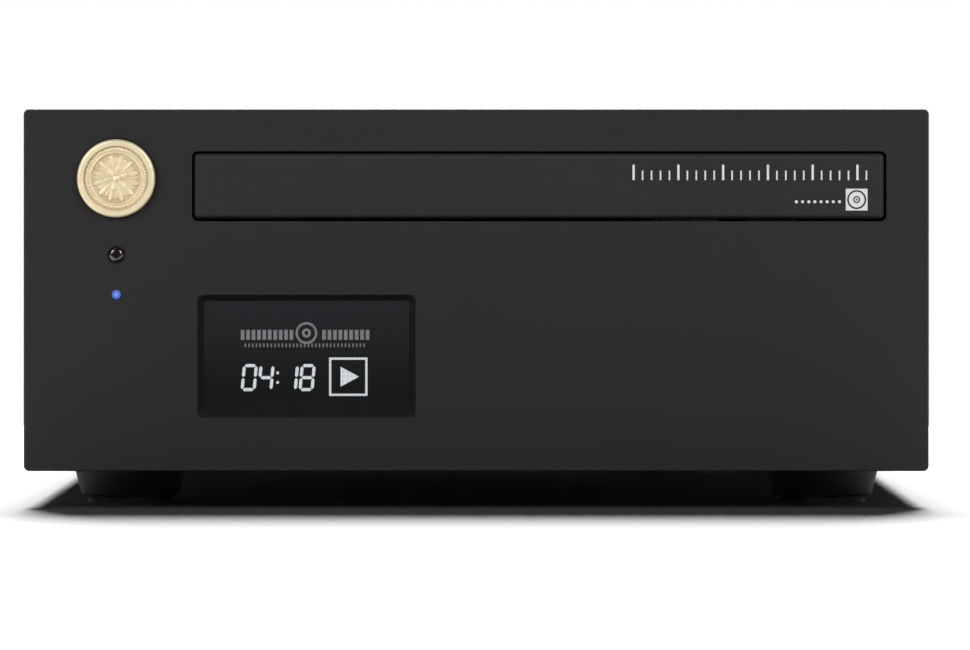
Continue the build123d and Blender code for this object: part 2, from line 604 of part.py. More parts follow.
def tray():
    half = TRAY_WIDTH / 2
    shape = block((-half, half), (TRAY_FRONT_Y, TRAY_REAR_Y), (TRAY_BOTTOM, TRAY_TOP))
    shape = fillet(shape.edges().filter_by(Axis.Z).group_by(Axis.Y)[-1], 4.0)
    shape = fillet(shape.faces().sort_by(Axis.Z)[-1].edges().filter_by(Axis.Y), 0.8)
    shape -= upright(0, SPINDLE_Y, DISC_RADIUS + DISC_PLAY, (SEAT_Z, TRAY_TOP + 1))
    shape -= upright(0, SPINDLE_Y, SMALL_DISC_RADIUS + DISC_PLAY, (TRAY_TOP - SMALL_SEAT_DEPTH, TRAY_TOP + 1))
    ceiling = TRAY_TOP - SMALL_SEAT_DEPTH - TRAY_FLOOR
    pocket_y = (TRAY_FRONT_Y + 4, TRAY_REAR_Y - 4)
    shape -= block((TRAY_RAIL - half, half - TRAY_RAIL), pocket_y, (TRAY_BOTTOM - 1, ceiling))
    gear_way = (TRAY_RAIL - half, TRAY_GEAR_X - TRAY_X + TRAY_GEAR_RADIUS + GEAR_MODULE + 1)
    shape -= block(gear_way, (pocket_y[1] - 1, TRAY_REAR_Y + 1), (TRAY_BOTTOM - 1, ceiling))
    deck_way = (SPINDLE_Y - 18, TRAY_REAR_Y - 10)
    shape -= block(centred(0, DECK_SLOT_WIDTH), deck_way, (TRAY_BOTTOM - 1, TRAY_TOP + 1))
    for side in (-1, 1):
        notch = Pos(side * (DISC_RADIUS + 2), SPINDLE_Y - 34, SEAT_Z + 2.5) * Cylinder(7.0, 5.0)
        shape -= notch
    offset = (GEAR_Y - pocket_y[0]) % (pi * GEAR_MODULE)
    teeth = rack(TRAY_REAR_Y - pocket_y[0], ceiling - TRAY_BOTTOM - 0.3, offset)
    shape += Pos(TRAY_RAIL - half, pocket_y[0], TRAY_BOTTOM + 0.3) * teeth
    return Pos(TRAY_X, 0, 0) * shape


def tray_door():
    width = SLOT_WIDTH - 2 * DOOR_GAP
    height = SLOT_HEIGHT - 2 * DOOR_GAP
    door = facing(TRAY_X, TRAY_Z, width, height, SLOT_CORNER - DOOR_GAP / 2, (-DOOR_PROUD, TRAY_FRONT_Y))
    return fillet(door.edges().group_by(Axis.Y)[0], DOOR_EDGE)


def loader_frame():
    outer = FRAME_HALF + FRAME_WALL
    along = (FRAME_FRONT_Y, FRAME_REAR_Y)
    frame = block((-outer, outer), (FRAME_FRONT_Y, PLATE_REAR_Y), (PLATE_Z - 2, PLATE_Z))
    frame += block((-outer, outer), (FRAME_REAR_Y - 10, FRAME_REAR_Y), (FRAME_BOTTOM, FRAME_BOTTOM + 3))
    for side in (-1, 1):
        frame += block(sorted((side * FRAME_HALF, side * outer)), along, (FRAME_BOTTOM, FRAME_TOP))
        ledge = sorted((side * (FRAME_HALF - 5), side * FRAME_HALF))
        frame += block(ledge, along, (TRAY_BOTTOM - 2.5, TRAY_BOTTOM - 0.3))
        lip = sorted((side * (FRAME_HALF - 3), side * FRAME_HALF))
        for lip_y in ((FRAME_FRONT_Y, SPINDLE_Y - 18), (SPINDLE_Y + 50, FRAME_REAR_Y)):
            frame += block(lip, lip_y, (TRAY_TOP + 0.3, FRAME_TOP))
        for y in (FRAME_FRONT_Y, FRAME_REAR_Y - 12):
            frame += block(sorted((side * FRAME_HALF, side * outer)), (y, y + 12), (FLOOR_Z, FRAME_BOTTOM))
            toe = sorted((side * outer, side * (outer + FRAME_TOE)))
            frame += block(toe, (y, y + 12), (FLOOR_Z, FLOOR_Z + TOE_HEIGHT))
            frame -= upright(side * (outer + FRAME_TOE / 2), y + 6, M3_HOLE, (0, FLOOR_Z + 4))
        pin = sorted((side * (DECK_WIDTH / 2 - 6), side * FRAME_HALF))
        frame += along_x(HINGE_Y, HINGE_Z, HINGE_PIN_RADIUS, pin)
    frame = Pos(TRAY_X, 0, 0) * frame
    frame += upright(TRAY_GEAR_X, GEAR_Y, 3.2, (PLATE_Z, PLATE_Z + 6))
    frame += upright(TRAY_GEAR_X, GEAR_Y, 2.0, (PLATE_Z, PLATE_Z + 14.6))
    frame += upright(PULLEY_X, GEAR_Y, 1.5, (PLATE_Z, PLATE_Z + 12.6))
    frame -= upright(MOTOR_X, GEAR_Y, 2.0, (PLATE_Z - 3, PLATE_Z + 1))
    for side in (-1, 1):
        x = TRAY_X + side * (FRAME_HALF + FRAME_WALL / 2)
        for y in clamp_screw_depths():
            frame -= upright(x, y, 1.0, (FRAME_TOP - 6, FRAME_TOP + 1))
    return frame


def tray_gear():
    gear = Pos(TRAY_GEAR_X, GEAR_Y, PLATE_Z + 6.2) * spur(TRAY_GEAR_TEETH, 8.7, 180 + 180 / TRAY_GEAR_TEETH)
    return gear - upright(TRAY_GEAR_X, GEAR_Y, 2.0 + RUNNING_FIT, (PLATE_Z, PLATE_Z + 20))


def belt_pulley():
    pulley = grooved(PULLEY_X, PULLEY_RADIUS)
    pulley += Pos(PULLEY_X, GEAR_Y, PLATE_Z + 4.6) * spur(PINION_TEETH, 7.6, 180)
    return pulley - upright(PULLEY_X, GEAR_Y, 1.5 + RUNNING_FIT, (PLATE_Z, PLATE_Z + 20))


def grooved(x, radius):
    """A flat pulley with a belt seat of this radius between two rims."""
    pulley = upright(x, GEAR_Y, radius + 1.0, (PLATE_Z + 0.4, PLATE_Z + 4.6))
    seat_z = centred(BELT_Z, BELT_WIDTH + 0.6)
    seat = upright(x, GEAR_Y, radius + 2.0, seat_z) - upright(x, GEAR_Y, radius, seat_z)
    return pulley - seat


def motor_pulley():
    pulley = grooved(MOTOR_X, MOTOR_PULLEY_RADIUS)
    return pulley + upright(MOTOR_X, GEAR_Y, SHAFT_RADIUS, (PLATE_Z - 6, PLATE_Z + 0.4))


def belt_outline(offset):
    """The belt's outline at a distance outside the two belt seats."""
    large = Pos(PULLEY_X, GEAR_Y) * Circle(PULLEY_RADIUS + offset)
    small = Pos(MOTOR_X, GEAR_Y) * Circle(MOTOR_PULLEY_RADIUS + offset)
    return make_hull(large.edges() + small.edges())


def drive_belt():
    belt = extrude(belt_outline(1.1) - belt_outline(0.1), amount=BELT_WIDTH)
    return Pos(0, 0, BELT_Z - BELT_WIDTH / 2) * belt


def tray_motor():
    motor = upright(MOTOR_X, GEAR_Y, 10.0, (PLATE_Z - 20, PLATE_Z - 2))
    motor = fillet(motor.edges().group_by(Axis.Z)[0], 1.0)
    motor += upright(MOTOR_X, GEAR_Y, 3.5, (PLATE_Z - 21.5, PLATE_Z - 20))
    return motor - upright(MOTOR_X, GEAR_Y, SHAFT_RADIUS + RUNNING_FIT, (PLATE_Z - 7, PLATE_Z))


def cam_slider():
    half_rise = CAM_RISE / 2
    along = (CAM_X + CAM_REACH[0], CAM_X + CAM_REACH[1])
    plate = block(along, CAM_Y, (CAM_LOW_Z - 5, CAM_LOW_Z + CAM_RISE + 4.8))
    slot = SlotCenterToCenter((CAM_TRAVEL ** 2 + CAM_RISE ** 2) ** 0.5 + 2, 2 * CAM_PIN_RADIUS + 1.0)
    slot = extrude(Rot(0, 0, -degrees(atan(CAM_RISE / CAM_TRAVEL))) * slot, amount=10)
    plate -= Pos(CAM_X - CAM_TRAVEL / 2, CAM_Y[1] + 4, CAM_LOW_Z + half_rise) * Rot(90, 0, 0) * slot
    return plate + block(along, (PLATE_REAR_Y - 5, CAM_Y[0]), (PLATE_Z + 0.3, PLATE_Z + 1.8))


# ---- Disc drive, drawn level and lowered to its rest ----

def deck_chassis():
    half = DECK_WIDTH / 2
    deck = block((-half, half), (DECK_FRONT_Y, HINGE_Y + 4), (DECK_TOP - DECK_THICKNESS, DECK_TOP))
    sled_way = (SPINDLE_Y + 12.5, SLED_FRONT_Y + SLED_LENGTH + SLED_TRAVEL + 1)
    deck -= block((-16, 16), sled_way, (0, PANEL_HEIGHT))
    deck -= upright(0, SPINDLE_Y, 3.0, (0, PANEL_HEIGHT))
    deck -= upright(SLED_GEAR_X, SLED_PINION_Y, 1.5, (0, PANEL_HEIGHT))
    for side in (-1, 1):
        ear = sorted((side * (half - 6), side * half))
        deck += block(ear, (HINGE_Y - 5, HINGE_Y + 5), (HINGE_Z - 5, HINGE_Z + 5))
        holder = sorted((side * (ROD_OFFSET - 3), side * (ROD_OFFSET + 2.4)))
        for y in (ROD_START_Y, ROD_END_Y - 4):
            deck += block(holder, (y, y + 4), (DECK_TOP, ROD_Z + 2.2))
    deck -= along_x(HINGE_Y, HINGE_Z, HINGE_PIN_RADIUS + RUNNING_FIT, (-half - 1, half + 1))
    for side in (-1, 1):
        deck -= along_y(side * ROD_OFFSET, ROD_Z, ROD_RADIUS, (ROD_START_Y, ROD_END_Y))
    deck += upright(SLED_GEAR_X, SLED_GEAR_Y, 2.0, (DECK_TOP, DECK_TOP + 0.8))
    deck += upright(SLED_GEAR_X, SLED_GEAR_Y, SHAFT_RADIUS, (DECK_TOP, DECK_TOP + 4.4))
    deck = Pos(TRAY_X, 0, 0) * deck
    deck += along_y(CAM_X, HINGE_Z, CAM_PIN_RADIUS, (CAM_Y[0] + 0.1, DECK_FRONT_Y))
    return lowered(deck)


def spindle_motor():
    motor = upright(TRAY_X, SPINDLE_Y, 12.0, (DECK_TOP - 10, DECK_TOP - DECK_THICKNESS))
    motor = fillet(motor.edges().group_by(Axis.Z)[0], 1.0)
    bore = (DECK_TOP - 9, DECK_TOP)
    return lowered(motor - upright(TRAY_X, SPINDLE_Y, SHAFT_RADIUS + RUNNING_FIT, bore))


def turntable():
    table = upright(0, 0, TURNTABLE_RADIUS, (TURNTABLE_Z - 2.4, TURNTABLE_Z))
    table += Pos(0, 0, TURNTABLE_Z + 1.1) * Cone(HUB_RADIUS, HUB_RADIUS - 2.4, 2.2)
    table += upright(0, 0, 3.0, (DECK_TOP + 3, TURNTABLE_Z))
    table += upright(0, 0, SHAFT_RADIUS, (DECK_TOP - 8.6, TURNTABLE_Z))
    for spoke in range(6):
        table -= Rot(0, 0, 60 * spoke) * upright(10.8, 0, 1.6, (TURNTABLE_Z - 3, TURNTABLE_Z + 1))
    return lowered(Pos(TRAY_X, SPINDLE_Y, 0) * table)


def guide_rods():
    return [lowered(along_y(TRAY_X + side * ROD_OFFSET, ROD_Z, ROD_RADIUS, (ROD_START_Y, ROD_END_Y)))
            for side in (-1, 1)]


def pickup_sled():
    along = (SLED_FRONT_Y, SLED_FRONT_Y + SLED_LENGTH)
    sled = block(centred(0, SLED_WIDTH), along, (DECK_TOP + 0.8, DECK_TOP + 7))
    sled += block((-12, 12), (SPINDLE_Y + 13.5, along[1] - 3), (DECK_TOP - 5, DECK_TOP + 0.8))
    for side in (-1, 1):
        sled -= along_y(side * ROD_OFFSET, ROD_Z, ROD_RADIUS + RUNNING_FIT, (along[0] - 1, along[1] + 1))
    sled -= block(centred(0, 13), centred(LENS_Y, 13), (DECK_TOP + 3.2, DECK_TOP + 8))
    length = SLED_TRAVEL + 12
    start = SLED_GEAR_Y - length + 5
    offset = (SLED_GEAR_Y - start) % (pi * GEAR_MODULE)
    sled += Pos(SLED_WIDTH / 2, start, DECK_TOP + 1.2) * rack(length, 2.4, offset)
    return lowered(Pos(TRAY_X, 0, 0) * sled)


def pickup_lens():
    holder = block(centred(0, 11), centred(LENS_Y, 11), (DECK_TOP + 3.8, DECK_TOP + 6.6))
    holder = fillet(holder.edges().filter_by(Axis.Z), 1.5)
    holder += upright(0, LENS_Y, 3.4, (DECK_TOP + 6.6, DECK_TOP + 7.6))
    holder += upright(0, LENS_Y, 2.4, (DECK_TOP + 7.6, DECK_TOP + 8.2))
    return lowered(Pos(TRAY_X, 0, 0) * holder)


def sled_gear():
    phase = 180 + 180 / SLED_GEAR_TEETH
    gear = Pos(SLED_GEAR_X, SLED_GEAR_Y, DECK_TOP + 0.9) * spur(SLED_GEAR_TEETH, 2.8, phase)
    gear -= upright(SLED_GEAR_X, SLED_GEAR_Y, SHAFT_RADIUS + RUNNING_FIT, (DECK_TOP, DECK_TOP + 9))
    return lowered(Pos(TRAY_X, 0, 0) * gear)


def sled_pinion():
    pinion = Pos(SLED_GEAR_X, SLED_PINION_Y, DECK_TOP + 0.6) * spur(SLED_PINION_TEETH, 3.4, 270)
    pinion += upright(SLED_GEAR_X, SLED_PINION_Y, SHAFT_RADIUS, (DECK_TOP - 8, DECK_TOP + 0.6))
    return lowered(Pos(TRAY_X, 0, 0) * pinion)


def sled_motor():
    under = DECK_TOP - DECK_THICKNESS
    motor = upright(SLED_GEAR_X, SLED_PINION_Y, 6.5, (under - 9, under))
    motor = fillet(motor.edges().group_by(Axis.Z)[0], 0.8)
    motor -= upright(SLED_GEAR_X, SLED_PINION_Y, SHAFT_RADIUS + RUNNING_FIT, (under - 7, under + 1))
    return lowered(Pos(TRAY_X, 0, 0) * motor)


def clamp_screw_depths():
    return (SPINDLE_Y - 11, SPINDLE_Y + 11)


def clamp_bridge():
    half = FRAME_HALF + FRAME_WALL
    bridge = block((-half, half), centred(SPINDLE_Y, 32), (FRAME_TOP, FRAME_TOP + SHEET))
    bridge -= upright(0, SPINDLE_Y, CLAMP_RADIUS + 0.6, (FRAME_TOP - 1, FRAME_TOP + 3))
    for side in (-1, 1):
        for y in clamp_screw_depths():
            bridge -= upright(side * (FRAME_HALF + FRAME_WALL / 2), y, 1.2, (FRAME_TOP - 1, FRAME_TOP + 3))
    return Pos(TRAY_X, 0, 0) * bridge


def clamp_puck():
    rim = FRAME_TOP + SHEET + 0.3
    puck = upright(TRAY_X, SPINDLE_Y, CLAMP_RADIUS, (TRAY_TOP + 0.5, rim))
    puck += upright(TRAY_X, SPINDLE_Y, CLAMP_RADIUS + 3.5, (rim, rim + 2.5))
    puck = fillet(puck.edges().group_by(Axis.Z)[-1], 0.6)
    return puck - upright(TRAY_X, SPINDLE_Y, 6.0, (rim + 1.2, rim + 4))


# ---- Electronics ----

def main_board():
    along = (MAIN_BOARD_FRONT_Y, REAR_Y - 8)
    board = block(centred(MAIN_BOARD_X, MAIN_BOARD_WIDTH), along, (BOARD_Z, BOARD_TOP))
    for x, y in board_posts():
        board -= upright(x, y, M3_HOLE, (0, BOARD_TOP + 1))
    return board


def standoffs():
    posts = []
    for x, y in board_posts():
        post = upright(x, y, 3.0, (FLOOR_Z, BOARD_Z))
        posts.append(post - upright(x, y, M3_RADIUS, (0, BOARD_TOP)))
    return posts


def capacitors():
    cans = []
    for column in range(3):
        for row in range(4):
            x = MAIN_BOARD_X - 36 + CAN_PITCH * column
            y = REAR_Y - 30 - CAN_PITCH * row
            can = upright(x, y, CAN_RADIUS, (BOARD_TOP, BOARD_TOP + CAN_HEIGHT))
            can = fillet(can.edges().group_by(Axis.Z)[-1], 0.7)
            crimp = (BOARD_TOP + CAN_HEIGHT - 3, BOARD_TOP + CAN_HEIGHT - 2.2)
            groove = upright(x, y, CAN_RADIUS + 1, crimp) - upright(x, y, CAN_RADIUS - 0.5, crimp)
            cans.append(can - groove)
    return cans


def chips():
    places = [(-20, 100, 20, 14), (14, 112, 14, 14), (30, 150, 12, 8), (30, 170, 12, 8), (36, 96, 10, 10),
              (-32, 130, 8, 12)]
    height = (BOARD_TOP, BOARD_TOP + 2.4)
    return [block(centred(MAIN_BOARD_X + x, w), centred(y, d), height) for x, y, w, d in places]


def heat_sink():
    left = -INNER_HALF + SHEET + 4
    height = (FLOOR_Z, FLOOR_Z + 34)
    sink = block((left, left + 4), SINK_Y, height)
    for fin in range(FIN_COUNT):
        y = SINK_Y[0] + fin * (SINK_Y[1] - SINK_Y[0] - FIN_THICKNESS) / (FIN_COUNT - 1)
        sink += block((left + 4, left + 22), (y, y + FIN_THICKNESS), height)
    return sink


def transformer():
    y = BODY_DEPTH - TOROID_INSET
    ring = upright(TOROID_X, y, TOROID_RADIUS, (FLOOR_Z, FLOOR_Z + TOROID_HEIGHT))
    ring -= upright(TOROID_X, y, 9.0, (0, PANEL_HEIGHT))
    return fillet(ring.edges().filter_by(GeomType.CIRCLE), 5.0)


def transformer_plate():
    y = BODY_DEPTH - TOROID_INSET
    top = FLOOR_Z + TOROID_HEIGHT
    plate = upright(TOROID_X, y, 19.0, (top, top + SHEET)) + upright(TOROID_X, y, 8.0, (top - 4, top))
    return plate - upright(TOROID_X, y, TOROID_BOLT + 0.1, (0, PANEL_HEIGHT))


def ribbon_cable():
    x = (MAIN_BOARD_X - MAIN_BOARD_WIDTH / 2 + 11, MAIN_BOARD_X - MAIN_BOARD_WIDTH / 2 + 23)
    display_end = BOARD_Y + BOARD_THICKNESS
    ribbon = block(x, (display_end, display_end + 5), (BOARD_TOP + 0.2, BOARD_TOP + 6))
    ribbon += block(x, (display_end + 5, MAIN_BOARD_FRONT_Y + 3), (BOARD_TOP + 2, BOARD_TOP + 2.8))
    plug_y = (MAIN_BOARD_FRONT_Y + 1.5, MAIN_BOARD_FRONT_Y + 7.5)
    return ribbon + block(x, plug_y, (BOARD_TOP, BOARD_TOP + 6))


def chassis_screws():
    screws = [screw_forward(x, WALL_Y, z) for x, z in panel_bosses()]
    screws += [screw_down(x, y, FLOOR_Z + TOE_HEIGHT, TOE_HEIGHT + SHEET) for x, y in frame_feet()]
    screws += [screw_down(x, y, BOARD_TOP) for x, y in board_posts()]
    y = BODY_DEPTH - TOROID_INSET
    plate_top = FLOOR_Z + TOROID_HEIGHT + SHEET
    bolt = upright(TOROID_X, y, TOROID_BOLT, (COVER_INSET, plate_top + 3))
    bolt += upright(TOROID_X, y, TOROID_BOLT + 2, (plate_top, plate_top + 3))
    return screws + [bolt]


# ---- Rear connectors ----

def mains_inlet():
    body = block(centred(INLET_X, INLET_SIZE[0] - 4.4), (BODY_DEPTH - INLET_DEPTH, BODY_DEPTH + 1),
                 centred(INLET_Z, INLET_SIZE[1] - 4.4))
    body += facing(INLET_X, INLET_Z, *INLET_SIZE, 2.0, (BODY_DEPTH, BODY_DEPTH + INLET_FLANGE))
    face = BODY_DEPTH + INLET_FLANGE
    socket = facing(SOCKET_X, SOCKET_Z, *SOCKET_SIZE, 3.0, (face - SOCKET_DEPTH, face + 1))
    rocker_pocket = (face - 9, face + 1)
    drawer_pocket = (face - 21, face + 1)
    body -= socket
    body -= block(centred(ROCKER_X, ROCKER_SIZE[0]), rocker_pocket, centred(INLET_Z, ROCKER_SIZE[1]))
    body -= block(centred(SOCKET_X, DRAWER_SIZE[0]), drawer_pocket, centred(DRAWER_Z, DRAWER_SIZE[1]))
    for pin in inlet_pins():
        body -= pin
    return body + along_x(ROCKER_Y, INLET_Z, 1.2, centred(ROCKER_X, ROCKER_SIZE[0] + 1))


def inlet_pins():
    face = BODY_DEPTH + INLET_FLANGE
    return [block(centred(SOCKET_X + x, 2.0), (face - SOCKET_DEPTH - 3, face - 4), centred(SOCKET_Z + z, 4.0))
            for x, z in ((-7.0, -2.0), (0.0, 2.0), (7.0, -2.0))]


def fuse_drawer():
    face = BODY_DEPTH + INLET_FLANGE
    width = DRAWER_SIZE[0] - 0.6
    height = DRAWER_SIZE[1] - 0.6
    drawer = block(centred(SOCKET_X, width), (face - 20, face + 0.6), centred(DRAWER_Z, height))
    drawer -= block(centred(SOCKET_X, width - 2.4), (face - 18, face - 2), (DRAWER_Z - 1.6, DRAWER_Z + 4))
    return drawer + block(centred(SOCKET_X, 10.0), (face + 0.6, face + 1.8), (DRAWER_Z + 0.8, DRAWER_Z + 2.2))


def power_rocker():
    half = ROCKER_SIZE[1] / 2 - 0.9
    corners = ((-half, 0), (-half, 4.2), (0, 2.6), (half, 4.2), (half, 0), (3, -3), (-3, -3))
    profile = Polyline(*corners, close=True)
    width = ROCKER_SIZE[0] - 0.6
    side = Plane(origin=(width / 2, 0, 0), x_dir=(0, 0, 1), z_dir=(-1, 0, 0))
    rocker = Rot(ROCKER_ANGLE, 0, 0) * extrude(side * make_face(profile), amount=width)
    rocker = Pos(ROCKER_X, ROCKER_Y, INLET_Z) * rocker
    return rocker - along_x(ROCKER_Y, INLET_Z, 1.2 + RUNNING_FIT, centred(ROCKER_X, ROCKER_SIZE[0]))


def xlr_sockets():
    sockets = []
    face = BODY_DEPTH + INLET_FLANGE
    pins = xlr_pins()
    for x in XLR_X:
        socket = facing(x, XLR_Z, *XLR_FLANGE, 2.5, (BODY_DEPTH, face))
        socket += along_y(x, XLR_Z, XLR_BORE + 1.8, (face - XLR_DEPTH - 3, BODY_DEPTH))
        socket -= along_y(x, XLR_Z, XLR_BORE, (face - XLR_DEPTH, face + 1))
        for screw_x, screw_z in flange_screw_places():
            socket -= along_y(screw_x, screw_z, M3_HOLE, (BODY_DEPTH - 1, face + 1))
        for pin in pins:
            socket -= pin
        sockets.append(socket)
    return sockets


def xlr_pins():
    pins = []
    face = BODY_DEPTH + INLET_FLANGE
    for x in XLR_X:
        for angle in (45, 135, 270):
            px = x + 4.0 * cos(radians(angle))
            pz = XLR_Z + 4.0 * sin(radians(angle))
            pin = along_y(px, pz, 1.2, (face - XLR_DEPTH - 6, face - 4))
            pins.append(fillet(pin.edges().group_by(Axis.Y)[-1], 0.6))
    return pins


def rca_barrels():
    barrels = []
    for x in RCA_X:
        barrel = along_y(x, RCA_Z, RCA_RADIUS, (REAR_Y - 12, BODY_DEPTH + REAR_PROUD))
        barrel = chamfer(barrel.edges().group_by(Axis.Y)[-1], 0.4)
        barrel += along_y(x, RCA_Z, RCA_RADIUS + 1.6, (BODY_DEPTH + 0.8, BODY_DEPTH + 2.0))
        barrels.append(barrel - along_y(x, RCA_Z, 1.6, (BODY_DEPTH - 2, BODY_DEPTH + REAR_PROUD + 1)))
    return barrels


def rca_insulators():
    rings = []
    for x in RCA_X:
        ring = along_y(x, RCA_Z, RCA_RADIUS + 1.2, (REAR_Y - 1.5, BODY_DEPTH))
        ring += along_y(x, RCA_Z, RCA_RADIUS + 2.6, (BODY_DEPTH, BODY_DEPTH + 0.8))
        ring += along_y(x, RCA_Z, RCA_RADIUS + 2.6, (REAR_Y - 2.5, REAR_Y))
        rings.append(ring - along_y(x, RCA_Z, RCA_RADIUS, (0, 2 * BODY_DEPTH)))
    return rings


def optical_port():
    face = BODY_DEPTH + 0.6
    port = block(centred(OPTICAL_X, PORT_SIZE), (REAR_Y - 12, face), centred(OPTICAL_Z, PORT_SIZE))
    port -= block(centred(OPTICAL_X, PORT_BORE), (REAR_Y - 9, face + 1), centred(OPTICAL_Z, PORT_BORE))
    return port + along_y(OPTICAL_X, OPTICAL_Z, 1.2, (REAR_Y - 9, REAR_Y - 8.4))


def optical_flap():
    top = OPTICAL_Z + PORT_BORE / 2 - 0.9
    bottom = OPTICAL_Z - PORT_BORE / 2 + 0.3
    flap = block(centred(OPTICAL_X, PORT_BORE - 0.5), centred(FLAP_Y, 0.8), (bottom, top))
    return flap + along_x(FLAP_Y, top, 0.55, centred(OPTICAL_X, PORT_BORE - 0.5))


def connector_screws():
    screws = []
    for x, z in connector_screw_places():
        seat = BODY_DEPTH + INLET_FLANGE if (x, z) in flange_screw_places() else BODY_DEPTH
        screws.append(screw_forward(x, seat, z, CASE_SCREW_LENGTH))
    return screws


def main():
    os.makedirs("parts", exist_ok=True)
    one_solid = (
        front_panel, chassis_base, top_cover, rear_panel, medallion, medallion_bush, return_spring,
        retaining_clip, tact_switch, switch_plunger, ir_bezel, ir_lens, led_pipe, display_glass,
        display_module, display_board, tray, tray_door, loader_frame, tray_gear, belt_pulley, motor_pulley,
        drive_belt, tray_motor, cam_slider, deck_chassis, spindle_motor, turntable, pickup_sled, pickup_lens,
        sled_gear, sled_pinion, sled_motor, clamp_bridge, clamp_puck, main_board, heat_sink, transformer,
        transformer_plate, ribbon_cable, mains_inlet, fuse_drawer, power_rocker, optical_port, optical_flap)
    several_solids = (
        case_screws, chassis_screws, feet, foot_pads, foot_screws, guide_rods, standoffs, capacitors, chips,
        inlet_pins, xlr_sockets, xlr_pins, rca_barrels, rca_insulators, connector_screws)
    for build in one_solid:
        save(build.__name__, build())
    for build in several_solids:
        save(build.__name__, *build())


if __name__ == "__main__":
    main()
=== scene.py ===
import json
import math

import bmesh
import bpy
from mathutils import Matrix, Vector

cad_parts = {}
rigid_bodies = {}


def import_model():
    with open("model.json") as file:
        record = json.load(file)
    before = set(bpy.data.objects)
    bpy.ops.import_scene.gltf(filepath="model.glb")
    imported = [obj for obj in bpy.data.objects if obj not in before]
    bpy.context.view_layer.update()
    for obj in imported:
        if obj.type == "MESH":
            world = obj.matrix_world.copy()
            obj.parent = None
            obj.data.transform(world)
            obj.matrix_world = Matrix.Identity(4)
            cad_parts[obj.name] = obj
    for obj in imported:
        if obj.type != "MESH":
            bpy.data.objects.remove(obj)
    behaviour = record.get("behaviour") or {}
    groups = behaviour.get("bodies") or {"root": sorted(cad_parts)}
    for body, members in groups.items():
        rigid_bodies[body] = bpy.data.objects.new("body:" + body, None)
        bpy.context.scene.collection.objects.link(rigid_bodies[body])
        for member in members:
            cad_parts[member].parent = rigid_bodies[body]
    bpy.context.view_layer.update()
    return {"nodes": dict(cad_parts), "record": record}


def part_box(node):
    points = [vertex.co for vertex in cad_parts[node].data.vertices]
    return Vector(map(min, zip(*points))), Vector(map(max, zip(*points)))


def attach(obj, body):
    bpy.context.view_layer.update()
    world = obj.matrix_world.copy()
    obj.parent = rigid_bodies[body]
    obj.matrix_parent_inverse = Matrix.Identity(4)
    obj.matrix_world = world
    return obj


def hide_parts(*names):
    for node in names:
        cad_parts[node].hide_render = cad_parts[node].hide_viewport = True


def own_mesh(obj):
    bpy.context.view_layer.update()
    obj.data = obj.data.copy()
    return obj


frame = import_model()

# The looks of a half-width disc player: its finishes, its printed marks, the relief on its button, and a
# plain studio to show it in. Metres, +Z up, the front panel faces -Y.

bl_info = {
    "name": "Disc Player Finishes",
    "version": (1, 0, 0),
    "blender": (4, 5, 0),
    "location": "View3D > Sidebar > Player",
    "description": "Dresses the disc player's packed parts and sets up a plain studio",
    "category": "Object",
}

MM = 0.001
NODES = frame["nodes"]
PANEL_LOW, PANEL_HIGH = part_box("front_panel")
DOOR_LOW, DOOR_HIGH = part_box("tray_door")
GLASS_LOW, GLASS_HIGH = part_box("display_glass")
BUTTON_LOW, BUTTON_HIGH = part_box("medallion")
REAR_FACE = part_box("rear_panel")[1].y
GLASS_LIP = 3.0 * MM            # glass held behind the window's edge on every side
WINDOW_BEVEL = 1.2 * MM         # width of the bevel round the window
PRINT_LAYER = 0.03 * MM         # thickness of a printed mark
BOARD_PITCH = 2.54 * MM         # grid of the circuit boards' pads and tracks


# ---- Properties ----

class PlayerFinishes(bpy.types.PropertyGroup):
    """Colours of the player's main finishes, in linear light."""
    panel: bpy.props.FloatVectorProperty(
        name="Panel", description="Satin paint of the front panel", subtype="COLOR", size=3,
        default=(0.0112, 0.0112, 0.0113), min=0.0, max=1.0)
    door: bpy.props.FloatVectorProperty(
        name="Drawer door", description="Anodised finish of the drawer's door", subtype="COLOR", size=3,
        default=(0.0122, 0.0123, 0.0112), min=0.0, max=1.0)
    cover: bpy.props.FloatVectorProperty(
        name="Cover", description="Textured coat of the cover, back and chassis", subtype="COLOR", size=3,
        default=(0.012, 0.012, 0.0122), min=0.0, max=1.0)
    gold: bpy.props.FloatVectorProperty(
        name="Button", description="Champagne plate of the round button", subtype="COLOR", size=3,
        default=(0.74, 0.64, 0.43), min=0.0, max=1.0)
    patina: bpy.props.FloatVectorProperty(
        name="Button recesses", description="Darker tone in the button's recesses", subtype="COLOR", size=3,
        default=(0.40, 0.29, 0.15), min=0.0, max=1.0)
    marking: bpy.props.FloatVectorProperty(
        name="Markings", description="Ink of the printed marks", subtype="COLOR", size=3,
        default=(0.56, 0.57, 0.56), min=0.0, max=1.0)
    indicator: bpy.props.FloatVectorProperty(
        name="Indicator", description="Light of the power indicator", subtype="COLOR", size=3,
        default=(0.05, 0.22, 1.0), min=0.0, max=1.0)


